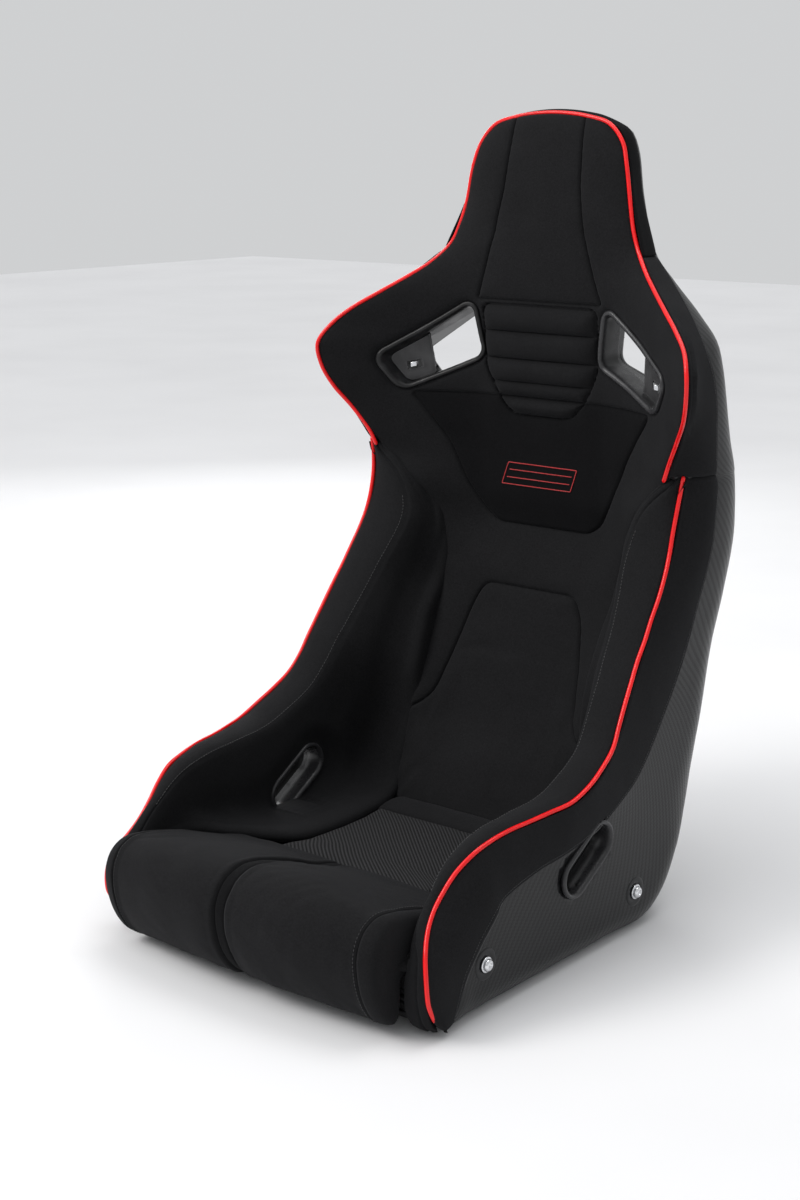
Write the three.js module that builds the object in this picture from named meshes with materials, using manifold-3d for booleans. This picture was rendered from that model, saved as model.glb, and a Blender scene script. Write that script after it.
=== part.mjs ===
// Fixed-back racing seat: a moulded shell with side mounts, foam, sewn covers, piping,
// harness slots and a lift-out base cushion. Millimetres, +Z up, -Y is the front of the seat.
// Origin: on the flat underside, on the centre plane, midway between the front and rear side bolts.
import * as THREE from 'three';
import { mergeGeometries, mergeVertices } from 'three/addons/utils/BufferGeometryUtils.js';
import Module from 'manifold-3d';

const wasm = await Module();
wasm.setup();

// ---- driving dimensions ----
const GAP = 0.4; // clearance between neighbouring pieces
const SHELL_WALL = 4;
const COVER_DEPTH = 22; // sewn front covers with their own foam
const BAND = 3; // outer cover cloth with its backing
const PIPING_R = 2.4;
const PIPING_SEAT = 6; // the shell rim sits this far below the piping centre

const MOUNT_PITCH = 290; // front to rear side bolt
const MOUNT_FRONT_Z = 60;
const MOUNT_REAR_Z = 52;
const SIDE_X = 247; // outer side of the shell at the mounts
const MOUNT_FACE_X = 247.6; // flat moulded pad round each side bolt
const MOUNT_PAD_R = 18;
const BOLT_R = 4; // M8
const HEAD_R = 7;
const HEAD_H = 4.4;
const WASHER_R = 9;
const WASHER_H = 1.6;

const PAN_TOP = 60; // top of the fixed foam under the base cushion
const SHELL_FRONT_Y = -228;
const SPLIT_Z = 534; // the shoulder wing starts here and the side bolster ends
const HEAD_SEAM_Z = 787; // seam between the shoulder and head outer covers

const LAP = { y: 40, z: 125, length: 92, width: 36, tilt: 0.56, lip: 7 };
const SLOT_REAR_Y = 315; // the shoulder slot sleeve ends just inside the shell

// Sections through the right half (+X), from the front of the pan to the top of the head.
// Each lies in a plane through rim (x, y, z) and base (y, z); the others are [x, height above base].
//   seam: where the bolster meets the pan or back   wall, crest: the bolster's inner face and top
//   edge: height of the cloth's lower edge          side, corner: half width and corner radius outside
//   recess: depth of the hollow down the middle of the shell's back
const BOLSTER = [
  { rim: [243, -237, 84], base: [-237, 50], seam: [214, 12], wall: [214, 20], crest: [222, 28],
    edge: 1, side: 246, corner: 8, recess: 0 },
  { rim: [232, -225, 113], base: [-225, 18], seam: [211, 66], wall: [211, 80], crest: [215, 93],
    edge: 1, side: 246, corner: 16, recess: 0 },
  { rim: [225, -200, 143], base: [-200, 0], seam: [207, 112], wall: [207, 124], crest: [210, 142],
    edge: 14, side: 247, corner: 26, recess: 0 },
  { rim: [232, -155, 179], base: [-155, 0], seam: [196, 115], wall: [203, 135], crest: [206, 177],
    edge: 82, side: 247, corner: 30, recess: 0 },
  { rim: [238, -110, 194], base: [-110, 0], seam: [168, 104], wall: [198, 118], crest: [204, 190],
    edge: 121, side: 247, corner: 30, recess: 0 },
  { rim: [246, -50, 199], base: [-50, 0], seam: [120, 92], wall: [191, 106], crest: [204, 195],
    edge: 136, side: 247, corner: 30, recess: 0 },
  { rim: [255, 0, 205], base: [0, 0], seam: [108, 91], wall: [191, 106], crest: [205, 200],
    edge: 142, side: 247, corner: 30, recess: 0 },
  { rim: [257, 36, 218], base: [98, 0], seam: [112, 94], wall: [186, 114], crest: [204, 222],
    edge: 158, side: 247, corner: 31, recess: 0 },
  { rim: [253, 73, 238], base: [195, 0], seam: [126, 110], wall: [180, 134], crest: [202, 262],
    edge: 194, side: 247, corner: 36, recess: 4 },
  { rim: [248, 100, 266], base: [260, 52], seam: [131, 136], wall: [171, 158], crest: [198, 263],
    edge: 182, side: 247, corner: 52, recess: 22 },
  { rim: [245, 119, 295], base: [318, 197], seam: [132, 132], wall: [164, 158], crest: [195, 216],
    edge: 132, side: 247, corner: 66, recess: 38 },
  { rim: [244, 130, 311], base: [347, 311], seam: [134, 127], wall: [162, 154], crest: [192, 208],
    edge: 112, side: 248, corner: 70, recess: 40 },
  { rim: [239, 176, 376], base: [366, 376], seam: [134, 107], wall: [157, 132], crest: [181, 181],
    edge: 105, side: 251, corner: 70, recess: 40 },
  { rim: [234, 220, 445], base: [382, 445], seam: [146, 119], wall: [156, 132], crest: [169, 155],
    edge: 97, side: 254, corner: 70, recess: 34 },
  { rim: [233, 235, 490], base: [380, 490], seam: [177, 138], wall: [181, 142], crest: [188, 146],
    edge: 92, side: 256, corner: 70, recess: 28 },
  { rim: [237, 238, 526], base: [373, 526], seam: [214, 136], wall: [219, 137], crest: [226, 138],
    edge: 86, side: 257, corner: 68, recess: 20 },
];

// Shoulder and head: horizontal sections. crown is how far the middle of the row stands above its rim.
const HEAD = [
  { rim: [224, 222, 534], back: 371, edge: 86, side: 257, corner: 66, recess: 18, crown: 0 },
  { rim: [246, 208, 575], back: 350, edge: 73, side: 260, corner: 63, recess: 7, crown: 0 },
  { rim: [272, 183, 624], back: 331, edge: 62, side: 263, corner: 60, recess: 2, crown: 0 },
  { rim: [277, 175, 658], back: 325, edge: 62, side: 260, corner: 58, recess: 0, crown: 0 },
  { rim: [264, 188, 687], back: 321, edge: 66, side: 252, corner: 54, recess: 0, crown: 0 },
  { rim: [227, 216, 718], back: 321, edge: 48, side: 223, corner: 46, recess: 0, crown: 0 },
  { rim: [176, 254, 755], back: 331, edge: 28, side: 176, corner: 38, recess: 0, crown: 0 },
  { rim: [146, 276, 783], back: 338, edge: 24, side: 146, corner: 36, recess: 0, crown: 0 },
  { rim: [144, 277, 785], back: 338, edge: 24, side: 144, corner: 36, recess: 0, crown: 0 },
  { rim: [121, 289, 848], back: 346, edge: 24, side: 120, corner: 32, recess: 0, crown: 2 },
  { rim: [108, 295, 905], back: 345, edge: 22, side: 109, corner: 27, recess: 0, crown: 8 },
  { rim: [97, 297, 927], back: 338, edge: 16, side: 99, corner: 20, recess: 0, crown: 12 },
  { rim: [84, 298, 936], back: 328, edge: 8, side: 87, corner: 14, recess: 0, crown: 12 },
];

// Centre line of the padded back [y, z], bottom to top.
const CENTRE = [
  [156, 96], [178, 150], [211, 203], [236, 265], [257, 330], [268, 372], [292, 436], [286, 480],
  [285, 540], [283, 610], [277, 690], [272, 760], [273, 812], [280, 870], [288, 912], [298, 948],
];
// Outer edge of the padded back (x, y, z): bolster seam, then piping.
const BACK_EDGE = [
  [130, 150, 96], [131, 172, 150], [131, 187, 203], [133, 205, 241], [134, 240, 318], [134, 254, 358],
  [137, 266, 405], [150, 262, 448], [178, 242, 490], [211, 235, 521],
];

// Shoulder harness slot seen from the front (x, z), and the panels sewn into the back.
const SHOULDER_SLOT = [[103, 714], [92, 652], [192, 608], [215, 644]];
const HEAD_PANEL = [[47, 938], [57, 856], [67, 805], [83, 754], [93, 726]];
const RIBBED_PANEL = [[87, 717], [86, 644], [80, 627], [66, 600], [44, 578]];
const CHEST_PANEL = [[182, 600], [168, 582], [137, 540], [111, 485], [88, 448], [70, 436]];
const LUMBAR_PANEL = [[70, 360], [84, 333], [99, 267], [110, 212], [145, 190]];

// ---- small helpers ----
const v3 = (x, y, z) => new THREE.Vector3(x, y, z);
const lerp = THREE.MathUtils.lerp;
const mirrorX = (points) => points.map(([x, ...rest]) => [-x, ...rest]);

function interpolate(rows, key, at) {
  // linear value of key(row) where at(row) gives the position and rows are in order
  return (position) => {
    let i = 1;
    while (i < rows.length - 1 && at(rows[i]) < position) i += 1;
    const a = rows[i - 1];
    const b = rows[i];
    const t = THREE.MathUtils.clamp((position - at(a)) / (at(b) - at(a)), 0, 1);
    return lerp(key(a), key(b), t);
  };
}

function meshGeometry(vertices, triangles) {
  const geometry = new THREE.BufferGeometry();
  geometry.setAttribute('position', new THREE.Float32BufferAttribute(vertices.flat(), 3));
  geometry.setIndex(triangles.flat());
  return geometry;
}

// Closed body through a row of rings, each a closed polygon with the same number of points.
function loft(rings) {
  const count = rings[0].length;
  const vertices = rings.flat();
  const triangles = [];
  for (let i = 0; i < rings.length - 1; i += 1) {
    for (let j = 0; j < count; j += 1) {
      const a = i * count + j;
      const b = i * count + ((j + 1) % count);
      const c = b + count;
      const d = a + count;
      const straight = v3(...vertices[a]).distanceToSquared(v3(...vertices[c]));
      const crossed = v3(...vertices[b]).distanceToSquared(v3(...vertices[d]));
      if (straight <= crossed) triangles.push([a, b, c], [a, c, d]);
      else triangles.push([a, b, d], [b, c, d]);
    }
  }
  const capTriangles = (ring) => {
    const origin = v3(...ring[0]);
    const points = ring.map((p) => v3(...p).sub(origin));
    const normal = v3(0, 0, 0);
    points.forEach((p, i) => normal.add(v3(0, 0, 0).crossVectors(p, points[(i + 1) % count])));
    normal.normalize();
    const reference = Math.abs(normal.x) < 0.9 ? v3(1, 0, 0) : v3(0, 1, 0);
    const across = reference.addScaledVector(normal, -reference.dot(normal)).normalize();
    const along = v3(0, 0, 0).crossVectors(normal, across);
    const flat = points.map((p) => new THREE.Vector2(p.dot(across), p.dot(along)));
    return THREE.ShapeUtils.triangulateShape(flat, []);
  };
  const last = (rings.length - 1) * count;
  capTriangles(rings[0]).forEach(([a, b, c]) => triangles.push([c, b, a]));
  capTriangles(rings[rings.length - 1]).forEach((corners) => triangles.push(corners.map((c) => c + last)));
  return meshGeometry(vertices, triangles);
}

function toSolid(source) {
  const geometry = source.clone();
  geometry.deleteAttribute('normal');
  geometry.deleteAttribute('uv');
  const merged = mergeVertices(geometry, 1e-3);
  const make = (triVerts) => new wasm.Manifold(new wasm.Mesh({
    numProp: 3,
    vertProperties: new Float32Array(merged.attributes.position.array),
    triVerts,
  }));
  const triVerts = new Uint32Array(merged.index.array);
  const solid = make(triVerts);
  if (solid.volume() > 0) return solid;
  return make(triVerts.reverse());
}

function fromSolid(solid) {
  const mesh = solid.getMesh();
  const geometry = new THREE.BufferGeometry();
  geometry.setAttribute('position', new THREE.BufferAttribute(mesh.vertProperties, 3));
  geometry.setIndex(new THREE.BufferAttribute(mesh.triVerts, 1));
  return geometry;
}

// Outline with rounded corners; grow moves every side outward.
function roundedShape(points, radius, grow = 0) {
  const corners = points.map(([x, y]) => new THREE.Vector2(x, y));
  if (THREE.ShapeUtils.area(corners) < 0) corners.reverse();
  const count = corners.length;
  const outward = corners.map((p, i) => {
    const side = corners[(i + 1) % count].clone().sub(p).normalize();
    return new THREE.Vector2(side.y, -side.x);
  });
  const moved = corners.map((p, i) => {
    const before = outward[(i + count - 1) % count];
    const after = outward[i];
    const bisector = before.clone().add(after).normalize();
    return p.clone().addScaledVector(bisector, grow / bisector.dot(after));
  });
  const shape = new THREE.Shape();
  moved.forEach((p, i) => {
    const before = moved[(i + count - 1) % count];
    const after = moved[(i + 1) % count];
    const reach = Math.min(radius + grow, before.distanceTo(p) * 0.45, after.distanceTo(p) * 0.45);
    const start = p.clone().addScaledVector(before.clone().sub(p).normalize(), reach);
    const end = p.clone().addScaledVector(after.clone().sub(p).normalize(), reach);
    if (i === 0) shape.moveTo(start.x, start.y);
    else shape.lineTo(start.x, start.y);
    shape.quadraticCurveTo(p.x, p.y, end.x, end.y);
  });
  shape.closePath();
  return shape;
}

// Solid prism through the seat from front to back: shape is drawn in (x, z).
function prismY(shape, from = -400, to = 500, curveSegments = 3) {
  const geometry = new THREE.ExtrudeGeometry(shape, { depth: to - from, bevelEnabled: false, curveSegments });
  return toSolid(geometry.rotateX(Math.PI / 2).translate(0, to, 0));
}

// Solid prism across the seat: shape is drawn in (y, z).
function prismX(shape, from, to, curveSegments = 4) {
  const geometry = new THREE.ExtrudeGeometry(shape, { depth: to - from, bevelEnabled: false, curveSegments });
  const axes = new THREE.Matrix4().makeBasis(v3(0, 1, 0), v3(0, 0, 1), v3(1, 0, 0));
  return toSolid(geometry.applyMatrix4(axes).translate(from, 0, 0));
}

const boxSolid = (x0, x1, y0, y1, z0, z1) => toSolid(
  new THREE.BoxGeometry(x1 - x0, y1 - y0, z1 - z0)
    .translate((x0 + x1) / 2, (y0 + y1) / 2, (z0 + z1) / 2),
);

const mirrorSolid = (solid) => solid.mirror([1, 0, 0]);
const bothSides = (solid) => solid.add(mirrorSolid(solid));

// The biggest body of a cut solid, without loose slivers
const largest = (solid) => solid.decompose().reduce((a, b) => (b.volume() > a.volume() ? b : a));

// ---- section planes ----
// Rows of the shell: position and direction of each plane, and the shape of its outside.
function plane(section) {
  const [, y, z] = section.rim;
  const [by, bz] = section.base ?? [section.back, z];
  const height = Math.hypot(y - by, z - bz);
  return {
    ...section,
    height,
    crown: section.crown ?? 0,
    point(x, h) {
      const t = h / height;
      const across = Math.min(1, Math.abs(x) / section.rim[0]);
      const lift = (section.crown ?? 0) * (1 - across ** 2);
      return [x, lerp(by, y, t), lerp(bz, z, t) + lift];
    },
  };
}
const bolsterPlanes = BOLSTER.map(plane);
const headPlanes = HEAD.map(plane);
const allPlanes = [...bolsterPlanes, ...headPlanes];

// x of the shell's outer side at a height above the base
function sideX(p, h) {
  const top = p.height - PIPING_SEAT;
  const t = THREE.MathUtils.clamp((top - h) / (top - p.corner), 0, 1);
  return lerp(p.rim[0] + 1.5, p.side, 1 - (1 - t) ** 3);
}

// Shell outline of one plane from the right rim down and across to the left rim, moved in by inset.
function shellRing(p, inset) {
  const top = p.height - PIPING_SEAT;
  const right = [0, 0.45].map((t) => {
    const h = lerp(top, p.corner, t);
    return [sideX(p, h) - inset, h];
  });
  const radius = p.corner;
  const centreX = p.side - radius;
  for (let i = 0; i <= 2; i += 1) {
    const angle = (i * Math.PI) / 4;
    const r = Math.max(radius - inset, 2);
    right.push([centreX + r * Math.cos(angle), radius - r * Math.sin(angle)]);
  }
  const hollow = Math.min(centreX - 6, 150);
  right.push([hollow, inset], [hollow * 0.55, inset + p.recess], [0, inset + p.recess]);
  const left = right.slice(0, -1).reverse().map(([x, h]) => [-x, h]);
  return [...right, ...left].map(([x, h]) => p.point(x, h));
}

// ---- shell ----
// Wall that follows the shell between two depths in from its outer face
function shellLayer(outer, inner) {
  const rings = allPlanes.map((p) => [...shellRing(p, outer), ...shellRing(p, inner).reverse()]);
  return toSolid(loft(rings));
}
// The thigh pads hang in front of the pan, so it stops short between the bolsters
const padRecess = boxSolid(-211, 211, -300, SHELL_FRONT_Y, -50, 150);
const panLip = boxSolid(-211, 211, SHELL_FRONT_Y, SHELL_FRONT_Y + SHELL_WALL, 10, PAN_TOP - 2);
const shellClearance = shellLayer(-GAP, SHELL_WALL + GAP)
  .add(boxSolid(-211, 211, SHELL_FRONT_Y - GAP, SHELL_FRONT_Y + SHELL_WALL + GAP, 8, PAN_TOP - 2 + GAP));
const fitToShell = (solid) => largest(solid.subtract(shellClearance));

// ---- bolsters ----
function bolsterSolid(clear) {
  const rings = bolsterPlanes.map((p) => {
    const [sx, sh] = p.seam;
    const [wx, wh] = p.wall;
    const [cx, ch] = p.crest;
    const [rx] = p.rim;
    const seat = SHELL_WALL + GAP - clear;
    const rimX = rx - 4.4 + clear * 0.5;
    const floor = seat + (sx < 150 ? p.recess * Math.max(0, 1 - (sx - 82) / 68) : 0);
    const top = p.height - 0.6 + clear;
    const low = Math.min(Math.max(p.corner, 12), p.height * 0.4);
    const outline = [
      [sx - clear, sh + clear * 0.5],
      [lerp(sx, wx, 0.5) - clear, lerp(sh, wh, 0.35) + clear],
      [wx - clear, wh + clear],
      [lerp(wx, cx, 0.45) - clear, lerp(wh, ch, 0.55) + clear],
      [cx - clear, ch + clear],
      [lerp(cx, rx, 0.5), lerp(ch, p.height, 0.5) + 4 + clear],
      [rimX, top],
      [sideX(p, lerp(top, low, 0.4)) - seat - 0.3, lerp(top, low, 0.4)],
      [p.side - seat - 0.3, low],
      [p.side - p.corner * 0.35 - seat, Math.max(p.corner * 0.35, seat + 1)],
      [Math.max(p.side - p.corner - seat, sx + 4), seat],
      [sx - clear, floor],
    ];
    return outline.map(([x, h]) => p.point(x, h));
  });
  return toSolid(loft(rings));
}

// ---- padded back ----
const centreY = interpolate(CENTRE, (p) => p[0], (p) => p[1]);
const backEdge = [...BACK_EDGE, ...HEAD.map((row) => row.rim)];
const edgeX = interpolate(backEdge, (p) => p[0], (p) => p[2]);
const edgeY = interpolate(backEdge, (p) => p[1], (p) => p[2]);

function backSurfaceY(x, z) {
  const outer = edgeX(z);
  const flat = Math.min(88, outer * 0.55);
  const t = THREE.MathUtils.clamp((Math.abs(x) - flat) / (outer - flat), 0, 1);
  return lerp(centreY(z), edgeY(z), t ** 1.5);
}

// Sheet that follows the padded back between two depths behind its face.
function backSheet(front, rear, inset = 0) {
  const columns = 6;
  const rings = backRows.map(({ z, crown }) => {
    const outer = edgeX(z) - inset;
    const faceAt = (depth) => (x) => {
      const lift = crown * (1 - (x / outer) ** 2);
      return [x, backSurfaceY(x, z) + depth, z + lift];
    };
    const xs = Array.from({ length: 2 * columns + 1 }, (_, i) => (outer * (i - columns)) / columns);
    return [...xs.map(faceAt(front)), ...xs.reverse().map(faceAt(rear))];
  });
  return toSolid(loft(rings));
}
const lowerRows = [97, 150, 203, 255, 311, 376, 445, 490, 526];
const backRows = [
  ...lowerRows.map((z) => ({ z, crown: 0 })),
  ...HEAD.slice(0, -1).map((row) => ({ z: row.rim[2], crown: row.crown })),
  { z: 931, crown: 12 },
];

// Foam behind the sewn covers, down to the inside of the shell, over some of the rows
const shellBackY = interpolate(
  [...BOLSTER.slice(8).map((row) => row.base), ...HEAD.map((row) => [row.back, row.rim[2]])],
  (p) => p[0],
  (p) => p[1],
);
const hollowDepth = interpolate(
  [...BOLSTER.slice(8), ...HEAD].map((row) => [row.base?.[1] ?? row.rim[2], row.recess]),
  (p) => p[1],
  (p) => p[0],
);
function backFoam(rows, width) {
  const columns = 6;
  const rings = rows.map(({ z, crown }) => {
    const outer = width(z);
    const xs = Array.from({ length: 2 * columns + 1 }, (_, i) => (outer * (i - columns)) / columns);
    const lift = (x) => crown * (1 - (x / outer) ** 2);
    const front = xs.map((x) => [x, backSurfaceY(x, z) + COVER_DEPTH + 5 * GAP, z + lift(x)]);
    const rear = [outer, outer * 0.5, 0, -outer * 0.5, -outer].map((x) => {
      const t = THREE.MathUtils.clamp(1.5 - Math.abs(x) / 90, 0, 1);
      const y = shellBackY(z) - SHELL_WALL - 2 * GAP - hollowDepth(z) * t;
      return [x, y, z + lift(x)];
    });
    return [...front, ...rear];
  });
  return toSolid(loft(rings));
}

const symmetricOutline = (half) => [...half, ...mirrorX(half).reverse()];

// ---- outer covers and piping ----
// Cloth band on the outside of the shell, from the piping down to edge, between two rows.
function bandRing(p, low, high, inner, outer) {
  const heights = [0, 0.5, 1].map((t) => lerp(high, low, t));
  const face = heights.map((h) => [outsideX(p, h, outer), h]);
  const back = [...heights].reverse().map((h) => [outsideX(p, h, inner), h]);
  return [...face, ...back].map(([x, h]) => p.point(x, h));
}
function outsideX(p, h, offset) {
  if (h >= p.corner) return sideX(p, h) + offset;
  const r = p.corner + offset;
  const down = Math.min(p.corner - h, r * 0.98);
  return p.side - p.corner + Math.sqrt(r * r - down * down);
}
const bandTop = (p) => p.height - PIPING_SEAT - 0.5;
const coverBand = (planes) => toSolid(
  loft(planes.map((p) => bandRing(p, p.edge + GAP, bandTop(p), GAP, GAP + BAND))),
);

// Tube along a list of points
function tube(points, radius) {
  const path = new THREE.CatmullRomCurve3(points.map((p) => v3(...p)), false, 'centripetal');
  const section = new THREE.Shape();
  const sides = 6;
  for (let i = 0; i < sides; i += 1) {
    const angle = (i * 2 * Math.PI) / sides;
    const x = radius * Math.cos(angle);
    const y = radius * Math.sin(angle);
    if (i === 0) section.moveTo(x, y);
    else section.lineTo(x, y);
  }
  section.closePath();
  return new THREE.ExtrudeGeometry(section, { steps: Math.round(points.length * 1.5), extrudePath: path });
}

// Cover over the top of the head: a strip behind the piping, from side to side.
function headCover() {
  const planes = headPlanes.filter((p) => p.rim[2] > HEAD_SEAM_Z);
  const rightRings = planes.map((p) => bandRing(p, p.edge + GAP, bandTop(p), GAP, GAP + BAND));
  const top = headPlanes[headPlanes.length - 1];
  const overRings = [0.75, 0.4, 0].map((u) => {
    const x = top.rim[0] * u;
    const heights = [0, 0.5, 1].map((t) => lerp(bandTop(top), top.edge + GAP, t));
    const rise = (h) => 2.2 + 5 * Math.sin((Math.PI * (h - top.edge)) / (bandTop(top) - top.edge)) * 0.4;
    const upper = heights.map((h) => {
      const [px, py, pz] = top.point(x, h);
      return [px, py, pz + rise(h) + BAND];
    });
    const lower = [...heights].reverse().map((h) => {
      const [px, py, pz] = top.point(x, h);
      return [px, py, pz + rise(h)];
    });
    return [...upper, ...lower];
  });
  const half = [...rightRings, ...overRings];
  const other = half.slice(0, -1).reverse().map((ring) => ring.map(([x, y, z]) => [-x, y, z]));
  return toSolid(loft([...half, ...other]));
}

// ---- base cushion ----
// Profile of the thigh pad in (y, z) where it is fullest, clockwise from the rear of its top.
const THIGH_TOP = [[-86, 94], [-130, 110], [-190, 134], [-235, 147], [-266, 148]];
const THIGH_NOSE = [[-290, 136], [-304, 112], [-303, 76], [-290, 42], [-264, 16], [-242, 9]];
const THIGH_UNDER = [[-234, 14], [-232, PAN_TOP + 1], [-86, PAN_TOP + 1]];
const THIGH_END_X = 188;

function thighRing(x) {
  const t = (x / 200) ** 2;
  const bow = 26 * t; // the nose runs back towards the ends
  const drop = 16 * t;
  const moved = (list) => list.map(([y, z]) => {
    const ahead = THREE.MathUtils.clamp((-236 - y) / 68, 0, 1);
    return [x, y + bow * ahead, z - drop * Math.max(0, (z - 60) / 90)];
  });
  return [...moved([...THIGH_TOP, ...THIGH_NOSE]), ...THIGH_UNDER.map(([y, z]) => [x, y, z])];
}
const thighPad = (from, to) => toSolid(
  loft([from, lerp(from, to, 0.33), lerp(from, to, 0.67), to].map(thighRing)),
);

// ---- fixing parts ----
// Round part on the side of the shell; the profile is [radius, distance outward from x].
function turned(profile, x, y, z, segments = 12) {
  const points = profile.map(([r, d]) => new THREE.Vector2(r, d));
  return new THREE.LatheGeometry(points, segments).rotateZ(-Math.PI / 2).translate(x, y, z);
}
const BOLT_PROFILE = [
  [0, -22], [BOLT_R, -22], [BOLT_R, 0], [HEAD_R, 0], [HEAD_R - 0.6, 2.4],
  [HEAD_R - 2.4, HEAD_H], [2.6, HEAD_H], [2.4, 1.8], [0, 1.8],
];
const WASHER_PROFILE = [
  [BOLT_R + 0.4, 0], [WASHER_R, 0], [WASHER_R, WASHER_H], [BOLT_R + 0.4, WASHER_H], [BOLT_R + 0.4, 0],
];
const INSERT_PROFILE = [
  [BOLT_R + 0.35, -12], [6.5, -12], [6.5, 0], [BOLT_R + 0.35, 0], [BOLT_R + 0.35, -12],
];
const boltSites = [
  ['front', -MOUNT_PITCH / 2, MOUNT_FRONT_Z],
  ['rear', MOUNT_PITCH / 2, MOUNT_REAR_Z],
];

function stadium(length, width, grow = 0) {
  const r = width / 2 + grow;
  const half = (length - width) / 2;
  const shape = new THREE.Shape();
  shape.absarc(half, 0, r, -Math.PI / 2, Math.PI / 2, false);
  shape.absarc(-half, 0, r, Math.PI / 2, (3 * Math.PI) / 2, false);
  shape.closePath();
  return shape;
}
function lapPrism(grow, from, to) {
  const geometry = new THREE.ExtrudeGeometry(stadium(LAP.length, LAP.width, grow), {
    depth: to - from,
    bevelEnabled: false,
    curveSegments: 5,
  });
  const axes = new THREE.Matrix4().makeBasis(v3(0, 1, 0), v3(0, 0, 1), v3(1, 0, 0));
  geometry.rotateZ(LAP.tilt).applyMatrix4(axes).translate(from, LAP.y, LAP.z);
  return toSolid(geometry);
}

// ---- assembly ----
const seat = new THREE.Group();

const cloth = { color: 0x151515, roughness: 0.92, metalness: 0 };
const darkCloth = { color: 0x0e0e0e, roughness: 0.95, metalness: 0 };
const gripCloth = { color: 0x1a1a1a, roughness: 0.8, metalness: 0 };
const foam = { color: 0x3a3a3c, roughness: 1, metalness: 0 };
const plastic = { color: 0x101010, roughness: 0.45, metalness: 0 };
const redPiping = { color: 0xe01018, roughness: 0.35, metalness: 0 };
const carbon = { color: 0x0b0b0c, roughness: 0.2, metalness: 0.1 };
const chrome = { color: 0xd8d8d8, roughness: 0.12, metalness: 1 };
const steel = { color: 0x808488, roughness: 0.4, metalness: 1 };
const webbing = { color: 0x202020, roughness: 0.95, metalness: 0 };

function addNode(name, geometry, finish) {
  const mesh = new THREE.Mesh(geometry, new THREE.MeshStandardMaterial(finish));
  mesh.name = name;
  seat.add(mesh);
}
const addSolid = (name, solid, finish) => addNode(name, fromSolid(solid), finish);
function addPair(name, rightSolid, finish) {
  addSolid(`${name}_right`, rightSolid, finish);
  addSolid(`${name}_left`, mirrorSolid(rightSolid), finish);
}

// slots through the shoulder wings, as prisms of growing size
const slotShape = (grow) => roundedShape(SHOULDER_SLOT, 12, grow);
const slotRight = (grow, from, to) => prismY(slotShape(grow), from, to);

// shell with its slots and bolt holes
const LAP_FACE_X = SIDE_X + 0.8; // flat moulded seat for the lap bezel
let shell = largest(shellLayer(0, SHELL_WALL).subtract(padRecess)).add(panLip);
shell = shell.add(bothSides(lapPrism(LAP.lip + 3, LAP_FACE_X - SHELL_WALL, LAP_FACE_X)));
shell = shell.subtract(bothSides(lapPrism(LAP.lip + GAP, LAP_FACE_X, LAP_FACE_X + 20)));
shell = shell.subtract(bothSides(slotRight(3.4, 250, 400)));
shell = shell.subtract(bothSides(lapPrism(3.4, 230, 260)));
for (const [, y, z] of boltSites) {
  const disc = (radius, from, to) => toSolid(new THREE.CylinderGeometry(radius, radius, to - from, 16)
    .rotateZ(Math.PI / 2)
    .translate((from + to) / 2, y, z));
  const pad = disc(MOUNT_PAD_R, SIDE_X - 3.5, MOUNT_FACE_X);
  const bore = disc(BOLT_R + 0.6, SIDE_X - 20, SIDE_X + 20).add(disc(MOUNT_PAD_R, MOUNT_FACE_X, SIDE_X + 20));
  shell = shell.add(bothSides(pad)).subtract(bothSides(bore));
}
addSolid('seat_shell', shell, carbon);

// bolsters, cut for the lap belt sleeve and the mounting plate behind the shell wall
const PLATE = { inner: 238.2, outer: 241.2, y0: -162, y1: 165, z0: 38, z1: 74 };
const plateSolid = (grow) => boxSolid(
  PLATE.inner - grow, PLATE.outer + grow, PLATE.y0 - grow, PLATE.y1 + grow, PLATE.z0 - grow, PLATE.z1 + grow,
);
const insertPocket = boltSites
  .map(([, y, z]) => boxSolid(222, 240, y - 9, y + 9, z - 9, z + 9))
  .reduce((a, b) => a.add(b));
let bolster = fitToShell(bolsterSolid(0)).subtract(plateSolid(GAP + 4)).subtract(insertPocket);
bolster = bolster.subtract(lapPrism(LAP.lip + 3 + GAP, LAP_FACE_X - SHELL_WALL - GAP, 260));
bolster = bolster.subtract(lapPrism(3.4, 150, 260)).subtract(lapPrism(LAP.lip + 0.4, 150, 203.5));
addPair('bolster', largest(bolster), cloth);
const bolsterTool = bothSides(bolsterSolid(GAP));

// outer covers
const lapClear = lapPrism(LAP.lip + GAP, 240, 270);
const sideCover = fitToShell(coverBand(bolsterPlanes)).subtract(lapClear);
addPair('side_cover', largest(sideCover), cloth);
const shoulderPlanes = headPlanes.filter((p) => p.rim[2] < HEAD_SEAM_Z);
addPair('shoulder_outer_cover', fitToShell(coverBand(shoulderPlanes)), cloth);
addSolid('head_outer_cover', fitToShell(headCover()), darkCloth);

// piping
const bolsterPipe = bolsterPlanes.map((p) => p.point(p.rim[0], p.height));
const lowEnd = [[244, -238, 27], [247, -245, 50], [244, -243, 80]];
const rightPipe = [...lowEnd, ...bolsterPipe.slice(1)];
addNode('bolster_piping_right', tube(rightPipe, PIPING_R), redPiping);
addNode('bolster_piping_left', tube(mirrorX(rightPipe), PIPING_R), redPiping);
const headSide = headPlanes.map((p) => p.point(p.rim[0], p.height));
const headTop = [[56, 298, 943], [20, 298, 948], [-20, 298, 948], [-56, 298, 943]];
const headPipe = [...headSide, ...headTop, ...mirrorX(headSide).reverse()];
addNode('head_piping', tube(headPipe, PIPING_R), redPiping);

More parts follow.
